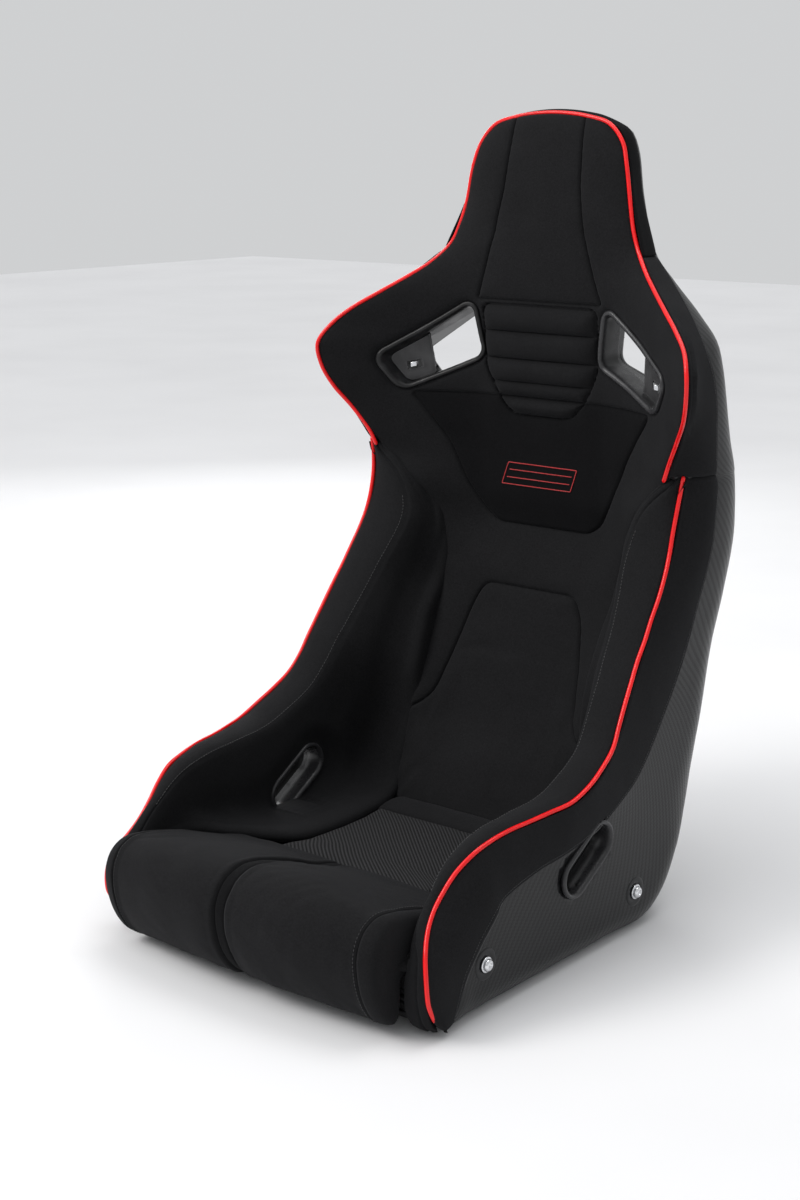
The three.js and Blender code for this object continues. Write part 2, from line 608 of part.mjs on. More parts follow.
// sewn covers of the back: panels cut out of one padded sheet
const edgeInset = 6.5;
const sheet = fitToShell(backSheet(0, COVER_DEPTH, edgeInset).subtract(bolsterTool));
const lipGrow = 8;
const seamCut = (half, radius, grow) => prismY(roundedShape(symmetricOutline(half), radius, grow));
const bezelHole = bothSides(slotRight(lipGrow + GAP, -400, 500));
const headHalf = [...HEAD_PANEL];
headHalf[0] = [HEAD_PANEL[0][0], 980];
const lumbarHalf = [...LUMBAR_PANEL, [145, 80]];
const panels = [
  ['headrest_center_panel', headHalf, 2, cloth],
  ['ribbed_insert', RIBBED_PANEL, 8, cloth],
  ['chest_panel', [[60, 600], ...CHEST_PANEL], 8, darkCloth],
  ['lumbar_panel', lumbarHalf, 14, cloth],
];
let frameCover = sheet.subtract(bezelHole);
const ribs = [682, 648, 619].map((z) => boxSolid(-90, 90, 200, 262 + 0.25 * (720 - z), z - 1.5, z + 1.5));
for (const [name, half, radius, finish] of panels) {
  let panel = sheet.intersect(seamCut(half, radius, 0));
  if (name === 'chest_panel') panel = panel.subtract(seamCut(RIBBED_PANEL, 8, GAP));
  if (name === 'ribbed_insert') ribs.forEach((groove) => { panel = panel.subtract(groove); });
  panel = panel.subtract(bezelHole);
  addSolid(name, panel, finish);
  frameCover = frameCover.subtract(seamCut(half, radius, GAP));
}
addSolid('back_frame_cover', largest(frameCover), cloth);

// foam behind the covers
const slotTunnel = bothSides(slotRight(3.4, 150, 400));
const lowerFoam = backFoam(backRows.filter(({ z }) => z < SPLIT_Z - 2), (z) => edgeX(z) - 8);
addSolid('backrest_foam', fitToShell(lowerFoam.subtract(bolsterTool)), foam);
const upperFoam = backFoam(backRows.filter(({ z }) => z >= SPLIT_Z - 2), (z) => edgeX(z) - 12);
addSolid('headrest_foam', fitToShell(upperFoam.subtract(slotTunnel)), foam);

// shoulder slot bezels
const lipRing = slotRight(lipGrow, 100, 400).subtract(slotRight(0, 90, 410));
const frontLip = backSheet(-3.5, 3).intersect(lipRing);
const sleeve = slotRight(3, 200, SLOT_REAR_Y).subtract(slotRight(0, 190, 400));
const behindFace = backSheet(0, 200);
const frontBezel = frontLip.add(sleeve.intersect(behindFace));
addPair('shoulder_bezel', frontBezel, plastic);
const rearSkin = shellLayer(-GAP - 3.5, -GAP).intersect(slotRight(lipGrow, 280, 400));
const rearSleeve = slotRight(3, SLOT_REAR_Y + GAP, 400).intersect(shellLayer(-GAP - 1, SHELL_WALL + 30));
addPair('shoulder_rear_bezel', largest(rearSkin.add(rearSleeve).subtract(slotRight(0, 190, 420))), plastic);
const platePart = backSheet(16, 19).intersect(slotRight(-GAP, 100, 400)).intersect(
  boxSolid(160, 240, 100, 400, 560, 740),
);
const latchWindow = boxSolid(176, 192, 100, 400, 630, 641);
addPair('slot_blanking_plate', platePart.subtract(latchWindow), plastic);

// lap belt bezels, in two halves that meet inside the bolster
const LAP_INNER_X = 196;
const LAP_MEET_X = 226;
const LAP_OUTER_X = LAP_FACE_X + GAP;
const lapInner = lapPrism(LAP.lip, LAP_INNER_X, LAP_INNER_X + 3.5)
  .add(lapPrism(3, LAP_INNER_X + 1, LAP_MEET_X))
  .subtract(lapPrism(0, 150, 300));
addPair('lap_bezel_inner', lapInner, plastic);
const lapOuter = lapPrism(LAP.lip, LAP_OUTER_X, LAP_OUTER_X + 5.5)
  .add(lapPrism(3, LAP_MEET_X + GAP, LAP_OUTER_X + 2))
  .subtract(lapPrism(0, 150, 300));
addPair('lap_bezel_outer', largest(lapOuter), plastic);

// side mounts
const plateBore = boltSites
  .map(([, y, z]) => toSolid(new THREE.CylinderGeometry(BOLT_R + 0.6, BOLT_R + 0.6, 30, 12)
    .rotateZ(Math.PI / 2)
    .translate(PLATE.outer, y, z)))
  .reduce((a, b) => a.add(b));
addPair('side_mount_plate', plateSolid(0).subtract(plateBore), steel);
for (const [place, y, z] of boltSites) {
  for (const [side, flip] of [['right', 1], ['left', -1]]) {
    const add = (name, profile, x, finish) => {
      const geometry = turned(profile, x, y, z);
      if (flip < 0) geometry.rotateZ(Math.PI).translate(0, 2 * y, 0);
      addNode(`${name}_${place}_${side}`, geometry, finish);
    };
    add('mount_bolt', BOLT_PROFILE, MOUNT_FACE_X + 0.3 + WASHER_H + 0.3, chrome);
    add('mount_washer', WASHER_PROFILE, MOUNT_FACE_X + 0.3, chrome);
    add('threaded_insert', INSERT_PROFILE, PLATE.inner - 0.3, steel);
  }
}

// fixed foam in the pan, and the lift-out cushion above it
const panOutline = [];
for (const p of bolsterPlanes.filter((q) => q.rim[1] < 75)) {
  const [x, y] = p.point(p.seam[0], p.seam[1]);
  panOutline.push([x - GAP - 0.4, y]);
}
const planShape = (half, grow) => {
  const shape = new THREE.Shape();
  [...half, ...mirrorX(half).reverse()].forEach(([x, y], i) => {
    if (i === 0) shape.moveTo(x - grow * Math.sign(x), y);
    else shape.lineTo(x - grow * Math.sign(x), y);
  });
  shape.closePath();
  return shape;
};
const planPrism = (half, grow, z0, z1) => toSolid(
  new THREE.ExtrudeGeometry(planShape(half, grow), {
    depth: z1 - z0,
    bevelEnabled: false,
  }).translate(0, 0, z0),
);
const panHalf = panOutline.filter(([, y]) => y > SHELL_FRONT_Y + 6);
const frontHalf = [[panHalf[0][0], SHELL_FRONT_Y + SHELL_WALL + GAP], ...panHalf];
const panFoam = planPrism(frontHalf, 0, SHELL_WALL + GAP, PAN_TOP)
  .intersect(boxSolid(-240, 240, SHELL_FRONT_Y, 400, 0, PAN_TOP))
  .subtract(bolsterTool);
addSolid('pan_foam', fitToShell(panFoam), foam);

const cushionPlan = (grow) => planPrism([[210, -330], [207, -235], ...panHalf], grow, 0, 200);
const INSERT_TOP = 90;
const insertRows = [[-84.6, 89], [-40, 88], [20, 88], [60, 89], [94, 91]];
const insertSolid = toSolid(loft(insertRows.map(([y, top]) => {
  const half = y < -60 ? 118 : 104;
  return [
    [-half, y, PAN_TOP + 1], [half, y, PAN_TOP + 1], [half, y, top - 1],
    [half * 0.5, y, top], [-half * 0.5, y, top], [-half, y, top - 1],
  ];
})));
addSolid('seat_insert', insertSolid.intersect(cushionPlan(1)), gripCloth);
const rollSolid = toSolid(loft([-112, -60, 0, 60, 112].map((x) => {
  const sag = Math.abs(x) / 60;
  return [
    [x, 95, PAN_TOP + 1], [x, 146, PAN_TOP + 1], [x, 148, 82], [x, 140, 94 - sag],
    [x, 120, 98 - sag], [x, 102, 96 - sag], [x, 95, INSERT_TOP - 2],
  ];
})));
addSolid('seat_rear_roll', rollSolid.intersect(cushionPlan(1)), cloth);
const padCut = cushionPlan(1.5);
addPair('thigh_pad', thighPad(9, THIGH_END_X).intersect(padCut), cloth);
addPair('thigh_gusset', thighPad(THIGH_END_X + GAP, 206).intersect(padCut), cloth);
const valley = thighPad(-8.6, 8.6);
const valleyShrink = prismX(roundedShape([
  [-86, 66], [-86, 86], [-190, 124], [-262, 134], [-290, 108], [-288, 70], [-262, 30], [-240, 22], [-233, 66],
], 6), -20, 20);
addSolid('thigh_center_gusset', valley.intersect(valleyShrink), darkCloth);

// hook and loop strips between the cushion and the pan
for (const [side, x] of [['right', 60], ['left', -60]]) {
  addSolid(`hook_strip_${side}`, boxSolid(x - 15, x + 15, -70, 80, PAN_TOP + 0.25, PAN_TOP + 0.75), webbing);
}

export default seat;
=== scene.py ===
"""Looks of the fixed-back racing seat: sewn cloth over a moulded carbon shell.

Lengths in the tables are millimetres in the frame of the CAD part; meshes are made in metres.
+Z is up, -Y is the front, x = 0 is the centre plane and +X is the sitter's left.
"""
import math

import bmesh
import bpy
import numpy as np
from mathutils import Matrix, Vector
from mathutils.bvhtree import BVHTree
from mathutils.geometry import delaunay_2d_cdt


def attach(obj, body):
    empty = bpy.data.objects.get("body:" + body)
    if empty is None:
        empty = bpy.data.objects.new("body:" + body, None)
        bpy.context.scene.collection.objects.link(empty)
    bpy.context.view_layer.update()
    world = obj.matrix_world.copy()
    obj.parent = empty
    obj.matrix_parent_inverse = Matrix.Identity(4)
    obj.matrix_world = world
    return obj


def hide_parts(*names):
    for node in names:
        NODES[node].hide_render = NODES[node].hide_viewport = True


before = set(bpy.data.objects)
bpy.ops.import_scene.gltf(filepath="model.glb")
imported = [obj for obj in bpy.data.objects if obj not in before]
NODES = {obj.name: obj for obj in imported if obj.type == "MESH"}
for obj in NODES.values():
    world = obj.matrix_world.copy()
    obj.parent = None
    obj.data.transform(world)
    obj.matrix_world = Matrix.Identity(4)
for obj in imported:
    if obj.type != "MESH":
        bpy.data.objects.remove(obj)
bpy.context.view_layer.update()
MM = 0.001
SEAT = "seat"
CUSHION = "seat_cushion"
FLOOR_GAP = 0.3

# ---- camera ----
CAMERA_AT = Vector((1.411, -1.671, 0.929))
YAW, PITCH, ROLL = (math.radians(a) for a in (40.03, 13.69, -0.19))
FOCAL_MM = 57.93


def make_camera():
    forward = Vector((-math.sin(YAW) * math.cos(PITCH), math.cos(YAW) * math.cos(PITCH), -math.sin(PITCH)))
    level = Vector((math.cos(YAW), math.sin(YAW), 0))
    upright = level.cross(forward)
    right = math.cos(ROLL) * level + math.sin(ROLL) * upright
    up = -math.sin(ROLL) * level + math.cos(ROLL) * upright
    data = bpy.data.cameras.new("camera")
    data.lens = FOCAL_MM
    data.sensor_width = 36
    camera = bpy.data.objects.new("camera", data)
    bpy.context.scene.collection.objects.link(camera)
    turn = Matrix((right, up, -forward)).transposed()
    camera.matrix_world = Matrix.Translation(CAMERA_AT) @ turn.to_4x4()
    bpy.context.scene.camera = camera


make_camera()

# ---- sections through the right half, front of the pan to the top of the head ----
# rim (x, y, z) and base (y, z) fix the plane of a section; seam, wall and crest are (x, height above base)
# edge is the height of the cloth's lower edge, then the shell's half width, corner radius and recess
BOLSTER = [
    ((243, -237, 84), (-237, 50), (214, 12), (214, 20), (222, 28), 1, 246, 8, 0),
    ((232, -225, 113), (-225, 18), (211, 66), (211, 80), (215, 93), 1, 246, 16, 0),
    ((225, -200, 143), (-200, 0), (207, 112), (207, 124), (210, 142), 14, 247, 26, 0),
    ((232, -155, 179), (-155, 0), (196, 115), (203, 135), (206, 177), 82, 247, 30, 0),
    ((238, -110, 194), (-110, 0), (168, 104), (198, 118), (204, 190), 121, 247, 30, 0),
    ((246, -50, 199), (-50, 0), (120, 92), (191, 106), (204, 195), 136, 247, 30, 0),
    ((255, 0, 205), (0, 0), (108, 91), (191, 106), (205, 200), 142, 247, 30, 0),
    ((257, 36, 218), (98, 0), (112, 94), (186, 114), (204, 222), 158, 247, 31, 0),
    ((253, 73, 238), (195, 0), (126, 110), (180, 134), (202, 262), 194, 247, 36, 4),
    ((248, 100, 266), (260, 52), (131, 136), (171, 158), (198, 263), 182, 247, 52, 22),
    ((245, 119, 295), (318, 197), (132, 132), (164, 158), (195, 216), 132, 247, 66, 38),
    ((244, 130, 311), (347, 311), (134, 127), (162, 154), (192, 208), 112, 248, 70, 40),
    ((239, 176, 376), (366, 376), (134, 107), (157, 132), (181, 181), 105, 251, 70, 40),
    ((234, 220, 445), (382, 445), (146, 119), (156, 132), (169, 155), 97, 254, 70, 34),
    ((233, 235, 490), (380, 490), (177, 138), (181, 142), (188, 146), 92, 256, 70, 28),
    ((237, 238, 526), (373, 526), (214, 136), (219, 137), (226, 138), 86, 257, 68, 20),
]
BOLSTER_TOP = ((238.5, 238, 534), (370, 534), (222, 128), (226, 129), (231, 130), 86, 257, 66, 18)
# rim, back y, edge, half width, corner, recess, crown
HEAD = [
    ((224, 222, 534), 371, 86, 257, 66, 18, 0),
    ((246, 208, 575), 350, 73, 260, 63, 7, 0),
    ((272, 183, 624), 331, 62, 263, 60, 2, 0),
    ((277, 175, 658), 325, 62, 260, 58, 0, 0),
    ((264, 188, 687), 321, 66, 252, 54, 0, 0),
    ((227, 216, 718), 321, 48, 223, 46, 0, 0),
    ((176, 254, 755), 331, 28, 176, 38, 0, 0),
    ((146, 276, 783), 338, 24, 146, 36, 0, 0),
    ((121, 289, 848), 346, 24, 120, 32, 0, 2),
    ((108, 295, 905), 345, 22, 109, 27, 0, 8),
    ((97, 297, 927), 338, 16, 99, 20, 0, 12),
    ((84, 298, 936), 328, 8, 87, 14, 0, 12),
]
CENTRE = [
    (156, 96), (178, 150), (211, 203), (236, 265), (257, 330), (268, 372), (292, 436), (286, 480),
    (285, 540), (283, 610), (277, 690), (272, 760), (273, 812), (280, 870), (288, 912), (298, 948),
]
BACK_EDGE = [
    (130, 150, 96), (131, 172, 150), (131, 187, 203), (133, 205, 241), (134, 240, 318), (134, 254, 358),
    (137, 266, 405), (150, 262, 448), (178, 242, 490), (211, 235, 521),
]
HEAD_PIPE = [
    (221, 224, 531), (229, 220, 549), (247, 207, 579), (265, 191, 607), (275, 179, 635), (277, 175, 662),
    (265, 188, 686), (243, 204, 707), (216, 224, 726), (187, 246, 746), (161, 266, 766), (141, 280, 789),
    (130, 285, 814), (123, 289, 840), (114, 292, 888), (105, 296, 914), (85, 298, 935), (56, 298, 943.5),
]
BOLSTER_PIPE = [
    (245, -229, 25), (246, -236, 36), (247, -242, 49), (245, -243, 75), (239, -237, 97), (230, -223, 115),
    (225, -208, 132), (225, -191, 150), (228, -173, 168), (233, -150, 183), (236, -123, 191), (240, -93, 196),
    (244, -62, 198), (249, -32, 201), (255, -1, 205), (257, 30, 216), (255, 59, 230), (252, 84, 246),
    (248, 101, 267), (246, 115, 289), (244, 130, 311), (242, 145, 333), (241, 161, 354), (239, 177, 376),
    (238, 193, 398), (236, 208, 421), (234, 220, 445), (233, 228, 470), (234, 234, 496), (237, 237, 522),
    (239, 237, 534),
]
SHOULDER_SLOT = [(103, 714), (92, 652), (192, 608), (215, 644)]
HEAD_PANEL = [(47, 990), (57, 856), (67, 805), (83, 754), (93, 722)]
RIBBED_PANEL = [(87, 717), (86, 644), (80, 627), (66, 600), (44, 578)]
CHEST_PANEL = [(60, 601), (182, 600), (168, 582), (137, 540), (111, 485), (88, 448), (70, 436)]
LUMBAR_PANEL = [(70, 361), (84, 333), (99, 267), (110, 212), (145, 190), (145, 60)]
RIB_SEAMS = (682, 648, 619)
LAP_Y, LAP_Z, LAP_LENGTH, LAP_WIDTH, LAP_TILT, LAP_LIP = 40, 125, 92, 36, 0.56, 7
BOLTS = {"front": (-145, 60), "rear": (145, 52)}
MOUNT_FACE_X = 247.6
HEAD_SEAM_Z = 787


# ---- curves and grids ----
def curve(points, count, closed=False):
    """Smooth curve through the points, sampled evenly along its length."""
    p = np.asarray(points, float)
    flat = p.reshape(len(p), -1)
    if closed:
        flat = np.vstack([flat[-1:], flat, flat[:2]])
    else:
        flat = np.vstack([2 * flat[0] - flat[1], flat, 2 * flat[-1] - flat[-2]])
    knots = np.concatenate([[0], np.cumsum(np.sqrt(np.linalg.norm(np.diff(flat, axis=0), axis=1)) + 1e-9)])
    fine = []
    steps = 24
    for i in range(1, len(flat) - 2):
        t0, t1, t2, t3 = knots[i - 1:i + 3]
        t = np.linspace(t1, t2, steps, endpoint=False)[:, None]
        a1 = (t1 - t) / (t1 - t0) * flat[i - 1] + (t - t0) / (t1 - t0) * flat[i]
        a2 = (t2 - t) / (t2 - t1) * flat[i] + (t - t1) / (t2 - t1) * flat[i + 1]
        a3 = (t3 - t) / (t3 - t2) * flat[i + 1] + (t - t2) / (t3 - t2) * flat[i + 2]
        b1 = (t2 - t) / (t2 - t0) * a1 + (t - t0) / (t2 - t0) * a2
        b2 = (t3 - t) / (t3 - t1) * a2 + (t - t1) / (t3 - t1) * a3
        fine.append((t2 - t) / (t2 - t1) * b1 + (t - t1) / (t2 - t1) * b2)
    fine.append(flat[-2][None])
    fine = np.vstack(fine)
    length = np.concatenate([[0], np.cumsum(np.linalg.norm(np.diff(fine, axis=0), axis=1))])
    at = np.linspace(0, length[-1], count, endpoint=not closed)
    out = np.stack([np.interp(at, length, column) for column in fine.T], axis=1)
    return out.reshape((len(out),) + p.shape[1:])


def mirrored(points):
    return np.asarray(points, float) * np.array([-1, 1, 1])


def normals_of(grid, wrap=False):
    rows = np.gradient(grid, axis=0)
    if wrap:
        cols = (np.roll(grid, -1, axis=1) - np.roll(grid, 1, axis=1)) / 2
    else:
        cols = np.gradient(grid, axis=1)
    n = np.cross(cols, rows)
    return n / np.maximum(np.linalg.norm(n, axis=2, keepdims=True), 1e-9)


def lengths_of(grid):
    """Distance along the rows and along the columns of a grid, in millimetres, for the weave."""
    across = np.linalg.norm(np.diff(grid, axis=1), axis=2).mean(axis=0)
    along = np.linalg.norm(np.diff(grid, axis=0), axis=2).mean(axis=1)
    u = np.concatenate([[0], np.cumsum(across)])
    v = np.concatenate([[0], np.cumsum(along)])
    return np.stack(np.meshgrid(u, v), axis=2)


def grid_faces(rows, cols, wrap=False):
    i, j = np.meshgrid(np.arange(rows - 1), np.arange(cols if wrap else cols - 1), indexing="ij")
    k = (j + 1) % cols
    corners = [i * cols + j, i * cols + k, (i + 1) * cols + k, (i + 1) * cols + j]
    return np.stack(corners, axis=2).reshape(-1, 4)


def closed_faces(rows, cols):
    """Faces of a tube of rings, with a cap on each end."""
    caps = [list(range(cols))[::-1], list(range((rows - 1) * cols, rows * cols))]
    return grid_faces(rows, cols, wrap=True).tolist() + caps


def mesh_object(name, vertices, faces, material, weave=None, smooth=True):
    """Mesh in metres from millimetres; weave is a (u, v) for each vertex in millimetres."""
    mesh = bpy.data.meshes.new(name)
    mesh.from_pydata((np.asarray(vertices) * MM).tolist(), [], [list(map(int, f)) for f in faces])
    if weave is not None:
        layer = mesh.uv_layers.new(name="weave")
        index = np.empty(len(mesh.loops), dtype=np.int32)
        mesh.loops.foreach_get("vertex_index", index)
        layer.data.foreach_set("uv", (np.asarray(weave)[index] * MM).astype(np.float32).ravel())
    if smooth:
        mesh.polygons.foreach_set("use_smooth", [True] * len(mesh.polygons))
    mesh.update()
    mesh.validate()
    mesh.materials.append(material)
    obj = bpy.data.objects.new(name, mesh)
    bpy.context.scene.collection.objects.link(obj)
    return obj


def thicken(vertices, normals, faces, depth):
    """Closed body from a sheet: the back lies depth behind the face, with walls along its border."""
    used, packed = np.unique(faces, return_inverse=True)
    packed = packed.reshape(faces.shape)
    front = vertices[used]
    back = front - normals[used] * (depth[used][:, None] if np.ndim(depth) else depth)
    front[:, 2] = np.maximum(front[:, 2], FLOOR_GAP)
    back[:, 2] = np.maximum(back[:, 2], FLOOR_GAP)
    count = len(used)
    size = faces.shape[1]
    edges = np.concatenate([packed[:, [a, (a + 1) % size]] for a in range(size)])
    keys = {(int(a), int(b)) for a, b in edges}
    border = [(a, b) for a, b in keys if (b, a) not in keys]
    walls = [(b, a, a + count, b + count) for a, b in sorted(border)]
    rear = packed[:, ::-1] + count
    return np.vstack([front, back]), packed.tolist() + rear.tolist() + walls, used


def sheet_object(name, grid, depth, material, keep=None, outward=None):
    """Padded sheet through a grid of points, closed behind."""
    rows, cols = grid.shape[:2]
    faces = grid_faces(rows, cols)
    normals = normals_of(grid)
    if outward is not None and (normals * outward).sum(axis=2).mean() < 0:
        normals = -normals
        faces = faces[:, ::-1]
    vertices = grid.reshape(-1, 3)
    if keep is not None:
        faces = faces[keep(vertices[faces].mean(axis=1))]
    body, closed, used = thicken(vertices, normals.reshape(-1, 3), faces, depth)
    weave = lengths_of(grid).reshape(-1, 2)[used]
    return mesh_object(name, body, closed, material, np.vstack([weave, weave]))


SIM_FRAMES = 20
COVER_PRESSURE = 4.0


def inflate(obj, held, limit):
    """Swells a sewn cover between its held points by cloth simulation; limit is the furthest move in mm."""
    scene = bpy.context.scene
    solid = bmesh.new()
    solid.from_mesh(obj.data)
    inside_out = solid.calc_volume(signed=True) < 0
    solid.free()
    if inside_out:
        obj.data.flip_normals()
    group = obj.vertex_groups.new(name="held")
    group.add(np.flatnonzero(held).tolist(), 1.0, "REPLACE")
    modifier = obj.modifiers.new("cover", "CLOTH")
    cloth = modifier.settings
    cloth.quality = 5
    cloth.mass = 0.3
    cloth.tension_stiffness = cloth.compression_stiffness = 15
    cloth.shear_stiffness = 6
    cloth.bending_stiffness = 1.0
    cloth.use_pressure = True
    cloth.uniform_pressure_force = COVER_PRESSURE
    cloth.vertex_group_mass = group.name
    cloth.effector_weights.gravity = 0
    modifier.point_cache.frame_end = SIM_FRAMES
    for frame_number in range(1, SIM_FRAMES + 1):
        scene.frame_set(frame_number)
    solved = obj.evaluated_get(bpy.context.evaluated_depsgraph_get()).to_mesh()
    count = len(obj.data.vertices)
    before, after = np.empty(count * 3, np.float32), np.empty(count * 3, np.float32)
    obj.data.vertices.foreach_get("co", before)
    solved.vertices.foreach_get("co", after)
    move = np.nan_to_num((after - before).reshape(-1, 3))
    length = np.maximum(np.linalg.norm(move, axis=1, keepdims=True), 1e-9)
    reach = limit * MM
    move *= reach * np.tanh(length / reach) / length
    obj.modifiers.remove(modifier)
    obj.vertex_groups.remove(group)
    obj.data.vertices.foreach_set("co", before + move.ravel())
    obj.data.update()
    scene.frame_set(1)
    travel = np.linalg.norm(move, axis=1) / MM
    print("INFLATED", obj.name, "turned", inside_out, "max", round(float(travel.max()), 2),
          "mean", round(float(travel.mean()), 2))


def tube_object(name, points, radius, material, sides=14, pitch=2.5):
    """Round tube along a smooth curve, with rounded ends."""
    total = np.linalg.norm(np.diff(np.asarray(points, float), axis=0), axis=1).sum()
    path = curve(points, max(8, int(total / pitch)))
    tangent = np.gradient(path, axis=0)
    tangent /= np.linalg.norm(tangent, axis=1, keepdims=True)
    side = np.cross(tangent[0], (0.3, 0.2, 1.0))
    frames = []
    for t in tangent:
        side = side - t * side.dot(t)
        side /= np.linalg.norm(side)
        frames.append((side.copy(), np.cross(t, side)))
    angle = np.linspace(0, 2 * np.pi, sides, endpoint=False)
    rings = [
        p + radius * (np.cos(angle)[:, None] * a + np.sin(angle)[:, None] * b)
        for p, (a, b) in zip(path, frames)
    ]
    for at, step in ((0, -1), (-1, 1)):
        a, b = frames[at]
        for turn in (0.5, 0.9):
            r = radius * math.cos(turn * math.pi / 2)
            p = path[at] + step * tangent[at] * radius * math.sin(turn * math.pi / 2)
            ring = p + r * (np.cos(angle)[:, None] * a + np.sin(angle)[:, None] * b)
            rings.insert(0 if step < 0 else len(rings), ring)
    rings = np.array(rings)
    count = len(rings)
    along = np.arange(count) * pitch
    around = angle * radius
    weave = np.stack(np.meshgrid(around, along), axis=2).reshape(-1, 2)
    return mesh_object(name, rings.reshape(-1, 3), closed_faces(count, sides), material, weave)


def stitch_object(name, rows, material, pitch=4.2, length=3.0, radius=0.42):
    """Thread stitches laid along paths; each row is (points, outward directions)."""
    angle = np.linspace(0, 2 * np.pi, 5, endpoint=False)
    profile = [(-0.5, 0.25, -0.25), (-0.3, 1, 0.15), (0, 1.05, 0.3), (0.3, 1, 0.15), (0.5, 0.25, -0.25)]
    vertices, faces = [], []
    for points, outward in rows:
        step = np.linalg.norm(np.diff(points, axis=0), axis=1)
        s = np.concatenate([[0], np.cumsum(step)])
        for at in np.arange(pitch / 2, s[-1] - pitch / 2, pitch):
            here, ahead = (np.array([np.interp(at + d, s, c) for c in points.T]) for d in (-0.4, 0.4))
            up = np.array([np.interp(at, s, c) for c in outward.T])
            up /= np.linalg.norm(up)
            along = (ahead - here) / max(np.linalg.norm(ahead - here), 1e-9)
            side = np.cross(along, up)
            side /= max(np.linalg.norm(side), 1e-9)
            base = len(vertices)
            for d, r, lift in profile:
                centre = (here + ahead) / 2 + along * d * length + up * lift * radius * 1.6
                for a in angle:
                    vertices.append(centre + radius * r * (math.cos(a) * side + math.sin(a) * up))
            quads = grid_faces(len(profile), 5, wrap=True) + base
            faces += [tuple(q) for q in quads]
            faces += [tuple(range(base, base + 5))[::-1], tuple(range(base + 20, base + 25))]
    return mesh_object(name, np.array(vertices), faces, material)


def swept_rim(name, outline, profile, place, material):
    """Closed rim: profile is (grow, depth) pairs round an outline, and place gives each point."""
    rings = []
    for grow, depth in profile:
        rings.append([place(p, grow, depth) for p in outline])
    rings = np.array(rings)
    rows, cols = rings.shape[:2]
    faces = grid_faces(rows, cols, wrap=True).tolist()
    for j in range(cols):
        k = (j + 1) % cols
        faces.append(((rows - 1) * cols + j, (rows - 1) * cols + k, k, j))
    return mesh_object(name, rings.reshape(-1, 3), faces, material)


def rounded(points, radius, spacing=2.0):
    """Closed outline with rounded corners, evenly spaced, counter-clockwise."""
    p = np.asarray(points, float)
    area = (p[:, 0] * np.roll(p[:, 1], -1) - np.roll(p[:, 0], -1) * p[:, 1]).sum()
    if area < 0:
        p = p[::-1]
    out = []
    for i, corner in enumerate(p):
        before, after = p[i - 1] - corner, p[(i + 1) % len(p)] - corner
        reach = min(radius, 0.45 * np.linalg.norm(before), 0.45 * np.linalg.norm(after))
        start = corner + before / np.linalg.norm(before) * reach
        end = corner + after / np.linalg.norm(after) * reach
        for t in np.linspace(0, 1, 9):
            out.append((1 - t) ** 2 * start + 2 * t * (1 - t) * corner + t * t * end)
    out = np.array(out + [out[0]])
    s = np.concatenate([[0], np.cumsum(np.linalg.norm(np.diff(out, axis=0), axis=1))])
    at = np.linspace(0, s[-1], max(12, int(s[-1] / spacing)), endpoint=False)
    return np.stack([np.interp(at, s, column) for column in out.T], axis=1)


def outline_normals(outline):
    t = np.roll(outline, -1, axis=0) - np.roll(outline, 1, axis=0)
    t /= np.linalg.norm(t, axis=1, keepdims=True)
    return np.stack([t[:, 1], -t[:, 0]], axis=1)


def both(half):
    return list(half) + [(-x, z) for x, z in reversed(half)]


def inside(points, polygon):
    """Which of the 2-D points lie in the polygon."""
    x, y = points[:, 0], points[:, 1]
    hit = np.zeros(len(points), bool)
    for (x0, y0), (x1, y1) in zip(polygon, np.roll(polygon, -1, axis=0)):
        crosses = (y0 > y) != (y1 > y)
        with np.errstate(divide="ignore", invalid="ignore"):
            hit ^= crosses & (x < (x1 - x0) * (y - y0) / (y1 - y0) + x0)
    return hit


def nearest(points, path, closed=True):
    """Nearest point of a 2-D path to each point, and how far away it is."""
    a = np.asarray(path, float)
    b = np.roll(a, -1, axis=0) if closed else a[1:]
    a = a if closed else a[:-1]
    best = np.full(len(points), 1e9)
    where = np.zeros_like(points)
    for p, q in zip(a, b):
        d = q - p
        t = np.clip(((points - p) @ d) / max(d @ d, 1e-9), 0, 1)
        foot = p + t[:, None] * d
        distance = np.linalg.norm(points - foot, axis=1)
        closer = distance < best
        best[closer] = distance[closer]
        where[closer] = foot[closer]
    return where, best


# ---- materials ----
def new_material(name, color, roughness, metallic=0.0, specular=0.5):
    material = bpy.data.materials.new(name)
    material.use_nodes = True
    nodes, links = material.node_tree.nodes, material.node_tree.links
    shader = nodes["Principled BSDF"]
    shader.inputs["Base Color"].default_value = (*color, 1)
    shader.inputs["Roughness"].default_value = roughness
    shader.inputs["Metallic"].default_value = metallic
    shader.inputs["Specular IOR Level"].default_value = specular
    return material, nodes, links, shader


def node(nodes, kind, **values):
    made = nodes.new(kind)
    for key, value in values.items():
        if hasattr(made, key):
            setattr(made, key, value)
        else:
            made.inputs[key.replace("_", " ")].default_value = value
    return made


def math_node(nodes, links, operation, first, second=None):
    made = nodes.new("ShaderNodeMath")
    made.operation = operation
    for socket, value in zip(made.inputs, (first, second)):
        if value is None:
            continue
        if isinstance(value, (int, float)):
            socket.default_value = value
        else:
            links.new(value, socket)
    return made.outputs[0]


def noise(nodes, links, coordinates, scale, detail=2.0):
    made = node(nodes, "ShaderNodeTexNoise", Scale=scale, Detail=detail, Roughness=0.55)
    links.new(coordinates, made.inputs["Vector"])
    return made.outputs["Fac"]


def ramp(nodes, links, value, stops):
    made = nodes.new("ShaderNodeValToRGB")
    elements = made.color_ramp.elements
    for element, (position, color) in zip(elements, stops):
        element.position = position
        element.color = (*color, 1)
    links.new(value, made.inputs["Fac"])
    return made.outputs["Color"]


